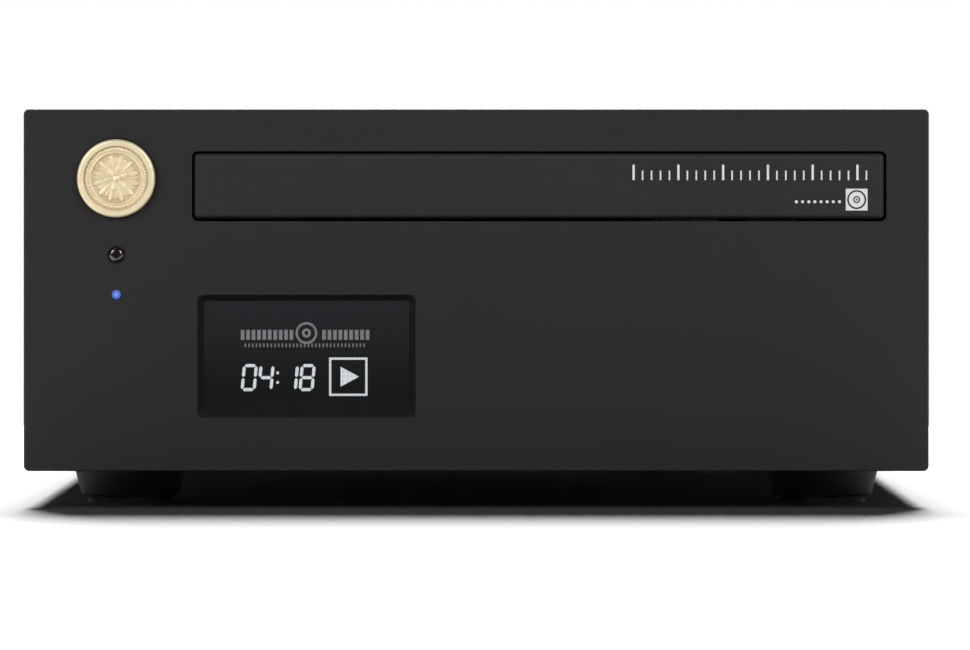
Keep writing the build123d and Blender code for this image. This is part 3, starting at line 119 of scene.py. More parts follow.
class PlayerMarks(bpy.types.PropertyGroup):
    """Sizes of the marks on the door, the display and the button."""
    scale_length: bpy.props.FloatProperty(
        name="Scale length", description="Length of the graduated mark on the door", subtype="DISTANCE",
        unit="LENGTH", default=51.9 * MM, min=10 * MM, max=70 * MM)
    scale_height: bpy.props.FloatProperty(
        name="Scale height", description="Height of its tallest strokes", subtype="DISTANCE", unit="LENGTH",
        default=3.4 * MM, min=1 * MM, max=5 * MM)
    pictogram: bpy.props.FloatProperty(
        name="Pictogram", description="Side of the square disc pictogram", subtype="DISTANCE", unit="LENGTH",
        default=4.8 * MM, min=2 * MM, max=8 * MM)
    digit_height: bpy.props.FloatProperty(
        name="Digit height", description="Height of the display's time digits", subtype="DISTANCE",
        unit="LENGTH", default=5.3 * MM, min=2 * MM, max=9 * MM)
    petals: bpy.props.IntProperty(
        name="Petals", description="Petals of the button's rosette", default=12, min=5, max=32)
    relief: bpy.props.FloatProperty(
        name="Relief", description="Height of the button's relief", subtype="DISTANCE", unit="LENGTH",
        default=0.62 * MM, min=0.1 * MM, max=0.68 * MM)


class PlayerStudio(bpy.types.PropertyGroup):
    """The camera and the lights."""
    distance: bpy.props.FloatProperty(
        name="Camera distance", description="From the panel's face", subtype="DISTANCE", unit="LENGTH",
        default=1.5, min=0.3, max=6.0)
    height: bpy.props.FloatProperty(
        name="Camera height", description="Above the surface", subtype="DISTANCE", unit="LENGTH",
        default=66 * MM, min=0.0, max=1.0)
    framed_width: bpy.props.FloatProperty(
        name="Framed width", description="Width of the view at the panel", subtype="DISTANCE", unit="LENGTH",
        default=214.25 * MM, min=0.05, max=2.0)
    aim_x: bpy.props.FloatProperty(
        name="Aim across", description="The view's middle, to the right of the panel's", subtype="DISTANCE",
        unit="LENGTH", default=1.93 * MM, min=-0.1, max=0.1)
    aim_z: bpy.props.FloatProperty(
        name="Aim height", description="The view's middle above the surface", subtype="DISTANCE",
        unit="LENGTH", default=40.3 * MM, min=0.0, max=0.2)
    overhead: bpy.props.FloatProperty(
        name="Overhead light", description="Power of the softbox above the player", subtype="POWER",
        unit="POWER", default=108.0, min=0.0, max=500.0)
    sides: bpy.props.FloatProperty(
        name="Side lights", description="Power of each softbox before and behind", subtype="POWER",
        unit="POWER", default=43.0, min=0.0, max=500.0)
    room: bpy.props.FloatProperty(
        name="Room light", description="Brightness of the room around the set", default=0.03, min=0.0,
        max=2.0)


# ---- Shader building ----

class Value:
    """A socket that carries a number. Arithmetic on it adds Math nodes to its finish."""

    def __init__(self, finish, socket):
        self.finish = finish
        self.socket = socket

    def math(self, operation, *others):
        inputs = {index: other for index, other in enumerate((self,) + others)}
        return self.finish.value("ShaderNodeMath", {"operation": operation}, inputs)

    def reflected(self, operation, first):
        return self.finish.value("ShaderNodeMath", {"operation": operation}, {0: first, 1: self})

    def __add__(self, other):
        return self.math("ADD", other)

    def __sub__(self, other):
        return self.math("SUBTRACT", other)

    def __mul__(self, other):
        return self.math("MULTIPLY", other)

    def __truediv__(self, other):
        return self.math("DIVIDE", other)

    def __pow__(self, other):
        return self.math("POWER", other)

    def __rsub__(self, other):
        return self.reflected("SUBTRACT", other)

    __radd__ = __add__
    __rmul__ = __mul__

    def __abs__(self):
        return self.math("ABSOLUTE")

    def sine(self):
        return self.math("SINE")

    def fraction(self):
        return self.math("FRACT")

    def largest(self, other):
        return self.math("MAXIMUM", other)

    def smallest(self, other):
        return self.math("MINIMUM", other)

    def rise(self, low, high):
        """0 below low, 1 above high and a smooth step between them."""
        return self.finish.value("ShaderNodeMapRange", {"interpolation_type": "SMOOTHSTEP"},
                                 {0: self, 1: low, 2: high, 3: 0.0, 4: 1.0})


class Finish:
    """A material whose nodes end in one Principled shader; constants go on the shader's own sockets."""

    def __init__(self, name, **constants):
        self.material = bpy.data.materials.new(name)
        self.material.use_nodes = True
        self.tree = self.material.node_tree
        self.tree.nodes.clear()
        sockets = {key.replace("_", " "): value for key, value in constants.items()}
        self.shader = self.node("ShaderNodeBsdfPrincipled", {}, sockets)
        self.node("ShaderNodeOutputMaterial", {}, {"Surface": self.shader.outputs[0]})
        self.place = self.node("ShaderNodeTexCoord").outputs["Object"]
        self.bumps = []

    def node(self, kind, settings=None, inputs=None):
        """A node of this type: its settings first, then the values or links of its sockets."""
        made = self.tree.nodes.new(kind)
        for key, setting in (settings or {}).items():
            setattr(made, key, setting)
        for key, source in (inputs or {}).items():
            if isinstance(source, Value):
                source = source.socket
            if isinstance(source, bpy.types.NodeSocket):
                self.tree.links.new(source, made.inputs[key])
            else:
                made.inputs[key].default_value = source
        return made

    def value(self, kind, settings=None, inputs=None, output=0):
        return Value(self, self.node(kind, settings, inputs).outputs[output])

    def axis(self, letter):
        """The place on the piece along X, Y or Z, in metres."""
        return self.value("ShaderNodeSeparateXYZ", {}, {0: self.place}, "XYZ".index(letter))

    def stretched(self, x, y, z):
        """The place scaled along each axis, for grain that runs one way."""
        return self.node("ShaderNodeVectorMath", {"operation": "MULTIPLY"},
                         {0: self.place, 1: (x, y, z)}).outputs[0]

    def noise(self, size, detail=2.0, place=None, roughness=0.5):
        """Noise whose features are about this size in metres."""
        return self.value("ShaderNodeTexNoise", {}, {"Vector": place or self.place, "Scale": 1.0 / size,
                                                     "Detail": detail, "Roughness": roughness})

    def cells(self, size):
        """Distance to the nearest of the points scattered about this far apart."""
        return self.value("ShaderNodeTexVoronoi", {}, {"Vector": self.place, "Scale": 1.0 / size})

    def distance(self, x, z):
        """Distance from an axis along Y through x and z."""
        across = self.axis("X") - x
        up = self.axis("Z") - z
        return (across * across + up * up) ** 0.5

    def mix(self, factor, first, second):
        """A colour between two colours."""
        first = (*first, 1.0) if isinstance(first, (tuple, list)) else first
        second = (*second, 1.0) if isinstance(second, (tuple, list)) else second
        return self.node("ShaderNodeMix", {"data_type": "RGBA"}, {0: factor, 6: first, 7: second}).outputs[2]

    def colour(self, socket):
        self.node_link("Base Color", socket)

    def roughness(self, value):
        self.node_link("Roughness", value)

    def node_link(self, name, source):
        socket = source.socket if isinstance(source, Value) else source
        self.tree.links.new(socket, self.shader.inputs[name])

    def bump(self, height, depth, strength=1.0):
        """Raise the surface by a height field between 0 and 1, this deep in metres."""
        inputs = {"Height": height, "Distance": depth, "Strength": strength}
        if self.bumps:
            inputs["Normal"] = self.bumps[-1]
        self.bumps.append(self.node("ShaderNodeBump", {}, inputs).outputs[0])
        self.node_link("Normal", self.bumps[-1])


def shade(colour, factor):
    """A colour made lighter or darker."""
    return tuple(min(1.0, channel * factor) for channel in colour)


def dress(finish, *names):
    """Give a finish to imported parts."""
    for name in names:
        part = NODES[name]
        part.data.materials.clear()
        part.data.materials.append(finish.material)


# ---- Finishes ----

def edge_band(finish, low, high, reach):
    """1 along the upright edges and the top and bottom edges of a panel between two corners."""
    near_left = 1 - abs(finish.axis("X") - low.x).rise(0.0, reach)
    near_right = 1 - abs(finish.axis("X") - high.x).rise(0.0, reach)
    near_base = 1 - abs(finish.axis("Z") - low.z).rise(0.0, reach)
    near_top = 1 - abs(finish.axis("Z") - high.z).rise(0.0, reach)
    return near_left.largest(near_right).largest(near_base.largest(near_top))


def window_bevel(finish):
    """1 on the bevel round the display's window."""
    inner = 0.15 * MM
    outer = 0.05 * MM
    half_width = (GLASS_HIGH.x - GLASS_LOW.x) / 2 + WINDOW_BEVEL - GLASS_LIP
    half_height = (GLASS_HIGH.z - GLASS_LOW.z) / 2 + WINDOW_BEVEL - GLASS_LIP
    across = abs(finish.axis("X") - (GLASS_LOW.x + GLASS_HIGH.x) / 2)
    up = abs(finish.axis("Z") - (GLASS_LOW.z + GLASS_HIGH.z) / 2)
    beside = 1 - across.rise(half_width - inner, half_width + outer)
    return beside * (1 - up.rise(half_height - inner, half_height + outer))


def panel_paint(base):
    """Satin paint over a bead-blasted face, a little polished at its outer edges, which are also lightened as
    a painted highlight; the window's bevel is darkened as painted shade.
    """
    paint = Finish("panel_paint", Specular_IOR_Level=0.2)
    grain = paint.noise(0.22 * MM, 3.0)
    cloud = paint.noise(38 * MM, 2.0)
    edge_polish_and_highlight = edge_band(paint, PANEL_LOW, PANEL_HIGH, 0.7 * MM)
    tone = paint.mix(cloud.rise(0.3, 0.7), shade(base, 0.97), shade(base, 1.04))
    tone = paint.mix(grain.rise(0.35, 0.75) * 0.35, tone, shade(base, 1.35))
    # Painted highlight: the panel's outer edges are lightened in colour; their lower roughness is the polish.
    tone = paint.mix(edge_polish_and_highlight * 0.75, tone, shade(base, 2.1))
    # Painted shade: the bevel round the window is darkened, less on its right and lower sides, which are
    # painted as lit.
    shaded_bevel = window_bevel(paint)
    lit_sides = paint.axis("X").rise(GLASS_HIGH.x - 4 * MM, GLASS_HIGH.x)
    lit_sides = lit_sides.largest(1 - paint.axis("Z").rise(GLASS_LOW.z + 1 * MM, GLASS_LOW.z + 4 * MM))
    paint.colour(paint.mix(shaded_bevel * (0.95 - 0.3 * lit_sides), tone, shade(base, 0.2)))
    paint.roughness(0.5 + 0.08 * grain - 0.1 * edge_polish_and_highlight + 0.2 * shaded_bevel)
    paint.bump(grain, 0.012 * MM, 0.6)
    return paint


def anodised_door(base):
    """Bead-blasted and anodised aluminium, lighter along its top edge as a painted highlight and darker along
    its bottom edge as painted shade.
    """
    door = Finish("anodised_door", Specular_IOR_Level=0.22)
    grain = door.noise(0.16 * MM, 3.0)
    cloud = door.noise(55 * MM, 1.0)
    # Painted highlight along the top edge and painted shade along the bottom edge.
    top = door.axis("Z").rise(DOOR_HIGH.z - 1.6 * MM, DOOR_HIGH.z - 0.5 * MM)
    painted_bottom_shade = 1 - door.axis("Z").rise(DOOR_LOW.z + 0.5 * MM, DOOR_LOW.z + 1.2 * MM)
    tone = door.mix(cloud.rise(0.3, 0.7), shade(base, 0.97), shade(base, 1.05))
    tone = door.mix(grain.rise(0.4, 0.8) * 0.4, tone, shade(base, 1.5))
    tone = door.mix(top * 0.5, tone, shade(base, 1.7))
    door.colour(door.mix(painted_bottom_shade * 0.85, tone, shade(base, 0.1)))
    door.roughness(0.44 + 0.1 * grain)
    door.bump(grain, 0.01 * MM, 0.7)
    return door


def textured_coat(base):
    """Fine-textured powder coat, with a trace of dust on level faces."""
    coat = Finish("textured_coat", Specular_IOR_Level=0.22)
    orange_peel = coat.noise(0.9 * MM, 3.0, roughness=0.62)
    dust = coat.noise(24 * MM, 4.0).rise(0.52, 0.74) * coat.axis("Z").rise(85 * MM, 86.6 * MM)
    tone = coat.mix(orange_peel, shade(base, 0.7), shade(base, 1.5))
    coat.colour(coat.mix(dust * 0.03, tone, (0.16, 0.15, 0.14)))
    coat.roughness(0.55 + 0.16 * orange_peel + 0.03 * dust)
    coat.bump(orange_peel, 0.07 * MM, 0.8)
    return coat


def champagne_plate(name, base, patina, deep, shallow):
    """Satin champagne plate; the recesses between two depths along Y keep a brown patina."""
    plate = Finish(name, Metallic=0.55, IOR=1.5, Specular_Tint=(1.0, 0.93, 0.78, 1.0))
    grain = plate.noise(0.14 * MM, 3.0)
    stain = plate.noise(1.7 * MM, 3.0)
    blotch = plate.noise(4.5 * MM, 3.0)
    recess = plate.axis("Y").rise(shallow, deep)
    brown = recess * (0.3 + 0.6 * stain)
    tone = plate.mix(grain, shade(base, 0.94), shade(base, 1.06))
    tone = plate.mix(blotch.rise(0.35, 0.75) * 0.3, tone, shade(base, 0.8))
    plate.colour(plate.mix(brown.smallest(1.0), tone, patina))
    plate.roughness(0.4 + 0.1 * grain + 0.16 * brown)
    plate.bump(grain, 0.012 * MM, 0.6)
    return plate


def moulded_plastic(name, base, gloss=0.5, grain_size=0.3):
    """Moulded plastic with a spark-eroded grain and faint flow marks."""
    plastic = Finish(name, IOR=1.46)
    grain = plastic.noise(grain_size * MM, 3.0)
    flow = plastic.noise(0.05, 2.0, plastic.stretched(1.0, 0.25, 2.2))
    plastic.colour(plastic.mix(flow.rise(0.35, 0.65), shade(base, 0.9), shade(base, 1.14)))
    plastic.roughness((1.0 - gloss) + 0.14 * (grain - 0.5) + 0.06 * flow)
    plastic.bump(grain, 0.03 * MM, 0.8 * (1.0 - gloss))
    return plastic


def polished_plastic(name, base):
    """Glossy plastic with hairline scuffs."""
    plastic = Finish(name, IOR=1.5, Coat_Roughness=0.04)
    scuff = plastic.noise(0.5 * MM, 4.0, plastic.stretched(1.0, 1.0, 9.0)).rise(0.6, 0.78)
    haze = plastic.noise(6 * MM, 2.0)
    plastic.colour(plastic.mix(haze, shade(base, 0.85), shade(base, 1.2)))
    plastic.roughness(0.07 + 0.16 * scuff + 0.05 * haze)
    plastic.node_link("Coat Weight", 0.35 + 0.2 * haze)
    return plastic


def rubber_finish():
    """Matt black rubber with a pale bloom."""
    rubber = Finish("rubber", IOR=1.48)
    grain = rubber.noise(0.35 * MM, 4.0)
    bloom = rubber.noise(5 * MM, 3.0).rise(0.45, 0.75)
    rubber.colour(rubber.mix(bloom * 0.35, (0.012, 0.012, 0.012), (0.06, 0.058, 0.055)))
    rubber.roughness(0.74 + 0.16 * grain)
    rubber.bump(grain, 0.05 * MM, 0.7)
    return rubber


def zinc_plate(name="zinc_plate", tint=(0.47, 0.47, 0.45)):
    """Zinc-plated steel: rolled streaks, a pale blue and straw bloom, and soft spangle."""
    zinc = Finish(name, Metallic=0.92, IOR=1.5)
    streak = zinc.noise(0.7 * MM, 3.0, zinc.stretched(1.0, 0.06, 1.0))
    bloom = zinc.noise(17 * MM, 3.0)
    spangle = zinc.cells(3.2 * MM)
    straw = (tint[0] * 1.12, tint[1] * 1.08, tint[2] * 0.94)
    tone = zinc.mix(bloom.rise(0.35, 0.65), shade(tint, 0.9), straw)
    zinc.colour(zinc.mix(spangle.rise(0.2, 0.9) * 0.25, tone, shade(tint, 1.3)))
    zinc.roughness(0.3 + 0.14 * streak + 0.1 * bloom)
    zinc.bump(streak, 0.006 * MM, 0.6)
    return zinc


def turned_metal(name, base, axis_x=None, axis_z=None, rough=0.22):
    """Bright metal with fine marks: rings about an axis along Y, or lines along Y without one."""
    metal = Finish(name, Metallic=1.0)
    if axis_x is None:
        marks = metal.noise(0.12 * MM, 2.0, metal.stretched(1.0, 0.03, 1.0))
    else:
        rings = (metal.distance(axis_x, axis_z) / (0.11 * MM)).sine()
        marks = 0.5 + 0.3 * rings + 0.2 * metal.noise(0.3 * MM)
    tarnish = metal.noise(2.6 * MM, 3.0)
    metal.colour(metal.mix(tarnish.rise(0.45, 0.8) * 0.5, base, shade(base, 0.72)))
    metal.roughness(rough + 0.12 * marks + 0.08 * tarnish)
    metal.bump(marks, 0.004 * MM, 0.7)
    return metal


def blackened_steel():
    """Blackened screws, rubbed bright in places."""
    steel = Finish("blackened_steel", Metallic=0.7, IOR=1.5)
    grain = steel.noise(0.3 * MM, 3.0)
    rubbed = steel.noise(1.4 * MM, 4.0).rise(0.6, 0.78)
    steel.colour(steel.mix(rubbed, (0.022, 0.022, 0.024), (0.13, 0.125, 0.12)))
    steel.roughness(0.38 + 0.2 * grain)
    steel.bump(grain, 0.015 * MM, 0.6)
    return steel


def smoked_glass():
    """The display's window: dark, lighter and cooler towards its top as a painted reflection, and darker in a
    narrow band round its edge.
    """
    glass = Finish("smoked_glass", Specular_IOR_Level=0.2)
    # Painted reflection: the glass is lighter and cooler towards its top.
    height = glass.axis("Z").rise(GLASS_LOW.z + GLASS_LIP, GLASS_HIGH.z - GLASS_LIP)
    smear = glass.noise(9 * MM, 3.0, glass.stretched(1.0, 1.0, 0.4))
    tone = glass.mix(height, (0.0076, 0.0076, 0.0077), (0.0164, 0.0178, 0.0198))
    # A darker band round the glass's edge.
    border = edge_band(glass, GLASS_LOW, GLASS_HIGH, GLASS_LIP + 0.7 * MM).rise(0.02, 0.06)
    glass.colour(glass.mix(border * 0.7, tone, (0.0035, 0.0038, 0.0042)))
    glass.roughness(0.06 + 0.05 * smear)
    return glass


def lit_pipe(colour):
    """A frosted light pipe that glows, brightest at its middle."""
    pipe = Finish("lit_pipe", Roughness=0.35, IOR=1.45, Emission_Strength=0.9)
    led_low, led_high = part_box("led_pipe")
    middle = pipe.distance((led_low.x + led_high.x) / 2, (led_low.z + led_high.z) / 2)
    core = 1 - middle.rise(0.1 * MM, 0.8 * MM)
    frost = pipe.noise(0.3 * MM, 2.0)
    glow = pipe.mix(core, shade(colour, 0.5), tuple(0.12 + 0.88 * channel for channel in colour))
    pipe.colour(pipe.mix(frost * 0.3, (0.02, 0.03, 0.08), (0.05, 0.07, 0.16)))
    pipe.node_link("Emission Color", pipe.mix(frost * 0.12, glow, colour))
    return pipe


def infrared_lens():
    """The remote sensor's deep red-black dome."""
    lens = Finish("infrared_lens", IOR=1.55, Coat_Weight=1.0, Coat_Roughness=0.1)
    swirl = lens.noise(1.1 * MM, 2.0)
    lens.colour(lens.mix(swirl, (0.004, 0.0035, 0.004), (0.014, 0.008, 0.010)))
    lens.roughness(0.05 + 0.06 * swirl)
    return lens


def circuit_board():
    """Green solder mask over copper tracks, with tinned pads and slightly uneven colour."""
    board = Finish("circuit_board", IOR=1.5)
    across = board.axis("X") / BOARD_PITCH
    along = board.axis("Y") / BOARD_PITCH
    up = board.axis("Z") / BOARD_PITCH
    cloud = board.noise(7.5 * MM).rise(0.45, 0.7)
    track = abs((across + 0.4 * board.noise(12 * MM)).fraction() - 0.5).rise(0.18, 0.24)
    branch = abs((along + up + 0.4 * board.noise(15 * MM)).fraction() - 0.5).rise(0.2, 0.26)
    copper = track.smallest(branch)
    pads = 1 - board.cells(BOARD_PITCH).rise(0.16, 0.2)
    mask = board.mix(copper, (0.018, 0.105, 0.045), (0.008, 0.052, 0.024))
    mask = board.mix(0.25 * cloud, mask, (0.045, 0.085, 0.030))
    board.colour(board.mix(pads * 0.8, mask, (0.62, 0.60, 0.54)))
    board.roughness(0.3 + 0.12 * copper - 0.08 * pads)
    board.bump(1 - copper, 0.035 * MM, 0.6)
    return board


def chip_epoxy():
    """Matt moulded epoxy with rows of faint pale dashes."""
    chip = Finish("chip_epoxy", IOR=1.5)
    grain = chip.noise(0.25 * MM, 3.0)
    dash = (chip.axis("X") / (0.9 * MM)).fraction().rise(0.4, 0.5)
    line = (chip.axis("Y") / (3.1 * MM)).fraction().rise(0.72, 0.78)
    chip.colour(chip.mix(dash * line * 0.3, (0.016, 0.016, 0.017), (0.15, 0.15, 0.15)))
    chip.roughness(0.58 + 0.2 * grain)
    chip.bump(grain, 0.02 * MM, 0.5)
    return chip


def capacitor_sleeve():
    """Dark blue shrink sleeve with a pale polarity stripe and a bare pressed top."""
    sleeve = Finish("capacitor_sleeve", IOR=1.5)
    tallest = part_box("capacitors")[1].z
    top = sleeve.axis("Z").rise(tallest - 0.12 * MM, tallest - 0.04 * MM)
    stripe = (sleeve.axis("X") / (19 * MM) + 0.31).fraction().rise(0.72, 0.74)
    dashes = (sleeve.axis("Z") / (3 * MM)).fraction().rise(0.4, 0.45)
    body = sleeve.mix(stripe, (0.010, 0.012, 0.045), (0.34, 0.36, 0.42))
    body = sleeve.mix(stripe * dashes * 0.6, body, (0.02, 0.02, 0.05))
    sleeve.colour(sleeve.mix(top, body, (0.62, 0.62, 0.61)))
    sleeve.node_link("Metallic", top * 0.9)
    sleeve.roughness(0.28 + 0.12 * sleeve.noise(2 * MM))
    return sleeve


def wound_tape():
    """Amber polyester tape wound round the transformer's ring, each turn lapping the last."""
    tape = Finish("wound_tape", IOR=1.55, Coat_Weight=0.4, Coat_Roughness=0.12)
    turn_count = 72
    low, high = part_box("transformer")
    across = tape.axis("X") - (low.x + high.x) / 2
    along = tape.axis("Y") - (low.y + high.y) / 2
    angle = along.math("ARCTAN2", across)
    turns = angle * (turn_count / math.tau)
    lap = (turns + 0.35 * tape.noise(9 * MM)).fraction()
    edge = 1 - lap.rise(0.0, 0.12)
    tone = tape.mix(lap, (0.42, 0.24, 0.035), (0.62, 0.40, 0.09))
    tape.colour(tape.mix(edge, tone, (0.20, 0.10, 0.02)))
    tape.roughness(0.26 + 0.14 * lap)
    tape.bump(lap, 0.12 * MM, 0.8)
    return tape


def flat_cable():
    """Pale ribbon cable, ribbed along its ways."""
    cable = Finish("flat_cable", IOR=1.5)
    ways = (cable.axis("X") / (1.25 * MM)).fraction()
    valley = abs(ways - 0.5).rise(0.36, 0.48)
    # Painted shade: the grooves between the ways are darkened.
    cable.colour(cable.mix(valley, (0.66, 0.66, 0.63), (0.34, 0.34, 0.33)))
    cable.roughness(0.42 + 0.1 * cable.noise(3 * MM))
    cable.bump(1 - valley, 0.2 * MM, 0.8)
    return cable


def printed_ink(name, base):
    """Screen-printed ink, slightly uneven and matt."""
    ink = Finish(name, IOR=1.4)
    speckle = ink.noise(0.18 * MM, 3.0)
    ink.colour(ink.mix(speckle.rise(0.3, 0.75), shade(base, 0.86), shade(base, 1.05)))
    ink.roughness(0.5 + 0.15 * speckle)
    return ink


def lit_segment(name, base, strength):
    """A display segment: an even glow with a faint woven mask in front of it."""
    segment = Finish(name, Roughness=0.5, Emission_Strength=strength)
    pitch = 0.16 * MM
    weave = 0.5 + 0.25 * (segment.axis("X") / pitch).sine() + 0.25 * (segment.axis("Z") / pitch).sine()
    segment.node_link("Emission Color", segment.mix(weave, shade(base, 0.82), base))
    segment.colour(segment.mix(weave, shade(base, 0.35), shade(base, 0.5)))
    return segment


# ---- Mesh building ----

def new_piece(name, mesh, finish, body):
    """Link a finished mesh as a piece that rides on a body."""
    piece = bpy.data.objects.new(name, mesh)
    bpy.context.scene.collection.objects.link(piece)
    mesh.materials.append(finish.material)
    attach(piece, body)
    return piece


def mesh_of(name, build):
    """A mesh made by a function that fills a bmesh."""
    shape = bmesh.new()
    build(shape)
    bmesh.ops.recalc_face_normals(shape, faces=shape.faces)
    mesh = bpy.data.meshes.new(name)
    shape.to_mesh(mesh)
    shape.free()
    return mesh


def bridge(shape, first, second):
    """Faces between two closed rows of the same number of points."""
    for index in range(len(first)):
        after = (index + 1) % len(first)
        shape.faces.new((first[index], second[index], second[after], first[after]))


def skin(shape, rows):
    """A closed skin over rows of points, with a flat face at each end."""
    made = [[shape.verts.new(point) for point in row] for row in rows]
    shape.faces.new(made[0])
    for first, second in zip(made, made[1:]):
        bridge(shape, first, second)
    shape.faces.new(made[-1][::-1])


def rectangle(x, z, width, height):
    """The outline of a rectangle about its middle."""
    return [(x + sx * width / 2, z + sz * height / 2) for sx, sz in ((-1, -1), (1, -1), (1, 1), (-1, 1))]


def arc(x, z, radius, angles):
    """Points (x, z) on a circle at these angles."""
    return [(x + radius * math.cos(angle), z + radius * math.sin(angle)) for angle in angles]


def ring_marks(x, z, outer, inner):
    """Outlines of the two halves of a ring."""
    steps = 40
    halves = []
    for side in (0, 1):
        angles = [math.pi * side + math.pi * step / steps for step in range(steps + 1)]
        halves.append(arc(x, z, outer, angles) + arc(x, z, inner, reversed(angles)))
    return halves


def frame_marks(x, z, width, height, line):
    """Outlines of the four strokes of a rectangular frame that don't overlap."""
    strokes = [rectangle(x, z + side * (height - line) / 2, width, line) for side in (-1, 1)]
    upright = height - 2 * line
    return strokes + [rectangle(x + side * (width - line) / 2, z, line, upright) for side in (-1, 1)]


def print_marks(name, outlines, front, finish, body):
    """One piece of many marks: each outline of (x, z) points becomes a thin closed slab behind front."""

    def build(shape):
        for outline in outlines:
            skin(shape, [[(x, y, z) for x, z in outline] for y in (front, front + PRINT_LAYER)])

    new_piece(name, mesh_of(name, build), finish, body)


SEGMENTS = {"0": "abcdef", "1": "bc", "2": "abged", "3": "abgcd", "4": "fgbc", "5": "afgcd", "6": "afgedc",
            "7": "abc", "8": "abcdefg", "9": "abfgcd"}


def digit_marks(digit, left, base, width, height, stroke):
    """Outlines of one seven-segment digit with its lower left corner at left and base."""
    half = height / 2
    ends = {"a": ((0, height), (width, height)), "g": ((0, half), (width, half)), "d": ((0, 0), (width, 0)),
            "f": ((0, half), (0, height)), "e": ((0, 0), (0, half)), "b": ((width, half), (width, height)),
            "c": ((width, 0), (width, half))}
    outlines = []
    trim = stroke * 0.16
    lean = 0.09
    for segment in SEGMENTS[digit]:
        (x0, z0), (x1, z1) = ends[segment]
        dx, dz = (1, 0) if z0 == z1 else (0, 1)
        x0, z0, x1, z1 = x0 + dx * trim, z0 + dz * trim, x1 - dx * trim, z1 - dz * trim
        point = stroke / 2
        hexagon = ((x0, z0), (x0 + dx * point - dz * point, z0 + dz * point - dx * point),
                   (x1 - dx * point - dz * point, z1 - dz * point - dx * point), (x1, z1),
                   (x1 - dx * point + dz * point, z1 - dz * point + dx * point),
                   (x0 + dx * point + dz * point, z0 + dz * point + dx * point))
        outlines.append([(left + x + lean * z, base + z) for x, z in hexagon])
    return outlines


def rosette_height(radius, angle, petals):
    """Height of the button's relief, 0 to 1, at a share of its radius and an angle."""
    if radius > 0.84:
        bead = abs(math.sin(angle * 36)) ** 0.7 * math.sin(math.pi * min(1.0, (radius - 0.84) / 0.12))
        return 0.28 + 0.5 * max(0.0, bead)
    if radius > 0.76:
        return 0.28 + 0.22 * math.sin(math.pi * (radius - 0.76) / 0.08)
    tall = petal(radius, angle, petals, 0.0, 0.74)
    low = petal(radius, angle, petals, 0.5, 0.66) * 0.72
    heart = petal(radius, angle, petals // 2, 0.25, 0.4)
    boss = math.sqrt(max(0.0, 1 - (radius / 0.13) ** 2))
    return max(0.05 + 0.62 * tall, 0.05 + 0.62 * low, 0.9 * heart, boss)


def petal(radius, angle, petals, shift, reach):
    """A ring of pointed petals with a raised midrib, 0 to 1."""
    turn = (angle / math.tau * petals + shift) % 1.0 - 0.5
    along = radius / reach
    if along >= 1.0:
        return 0.0
    half_width = 0.5 * math.sin(math.pi * along ** 0.8) ** 0.6
    if half_width < 1e-6 or abs(turn) >= half_width:
        return 0.0
    across = abs(turn) / half_width
    rib = 0.22 * max(0.0, 1 - across * 6)
    return (0.78 * math.sqrt(1 - across ** 2) + rib) * (0.55 + 0.45 * along)


def relief_mesh(name, centre, radius, y_base, depth, petals):
    """The rosette as a closed disc whose front stands up to depth in front of y_base."""
    rings = 64
    spokes = 288

    def build(shape):
        middle = shape.verts.new((centre.x, y_base - depth, centre.z))
        before = None
        for ring in range(1, rings + 1):
            share = ring / rings
            row = []
            for spoke in range(spokes):
                angle = math.tau * spoke / spokes
                height = rosette_height(share, angle, petals)
                reach = radius * share
                row.append(shape.verts.new((centre.x + reach * math.cos(angle), y_base - depth * height,
                                            centre.z + reach * math.sin(angle))))
            if before:
                bridge(shape, before, row)
            else:
                for spoke in range(spokes):
                    shape.faces.new((middle, row[spoke], row[(spoke + 1) % spokes]))
            before = row
        foot = [shape.verts.new((vertex.co.x, y_base, vertex.co.z)) for vertex in before]
        bridge(shape, before, foot)
        shape.faces.new(foot[::-1])

    mesh = mesh_of(name, build)
    mesh.shade_smooth()
    return mesh


# ---- Operators ----

class PlayerOperator(bpy.types.Operator):
    """What the player's operators share."""
    bl_options = {"REGISTER", "UNDO"}

    def execute(self, context):
        self.build(context.scene.player_finishes, context.scene.player_marks, context.scene.player_studio)
        return {"FINISHED"}


class PLAYER_OT_casework(PlayerOperator):
    """Dress the front panel, the cover, the rear panel and the chassis, and fit the dust strips"""
    bl_idname = "player.casework"
    bl_label = "Casework"

    COVER_INSIDE = 97.5 * MM        # from the middle to the inside of the cover's sides
    REAR_INSIDE = 125 * MM          # the rear panel's inner face
    STRIP_FOOT = 30 * MM
    STRIP_TOP = 84.5 * MM
    STRIP_PROFILE = ((0.0, 0.0), (0.0, -2.2), (-0.5, -2.5), (-1.7, -2.5), (-2.2, -2.2), (-2.3, -0.6),
                     (-2.3, 0.0))

    def build(self, finishes, marks, studio):
        dress(panel_paint(tuple(finishes.panel)), "front_panel")
        dress(textured_coat(tuple(finishes.cover)), "top_cover", "rear_panel", "chassis_base")
        strips = mesh_of("dust_strips", self.strips)
        new_piece("dust_strips", strips, rubber_finish(), "chassis")

    def strips(self, shape):
        """Two strips of foam that close the slits between the cover's sides and the rear panel."""
        steps = 40
        for side in (-1, 1):
            rows = []
            for step in range(steps + 1):
                height = self.STRIP_FOOT + (self.STRIP_TOP - self.STRIP_FOOT) * step / steps
                swell = 1 + 0.03 * math.sin(1.9 * step)
                rows.append([(side * (self.COVER_INSIDE + across * swell * MM),
                              self.REAR_INSIDE + along * swell * MM, height)
                             for across, along in self.STRIP_PROFILE])
            skin(shape, rows)


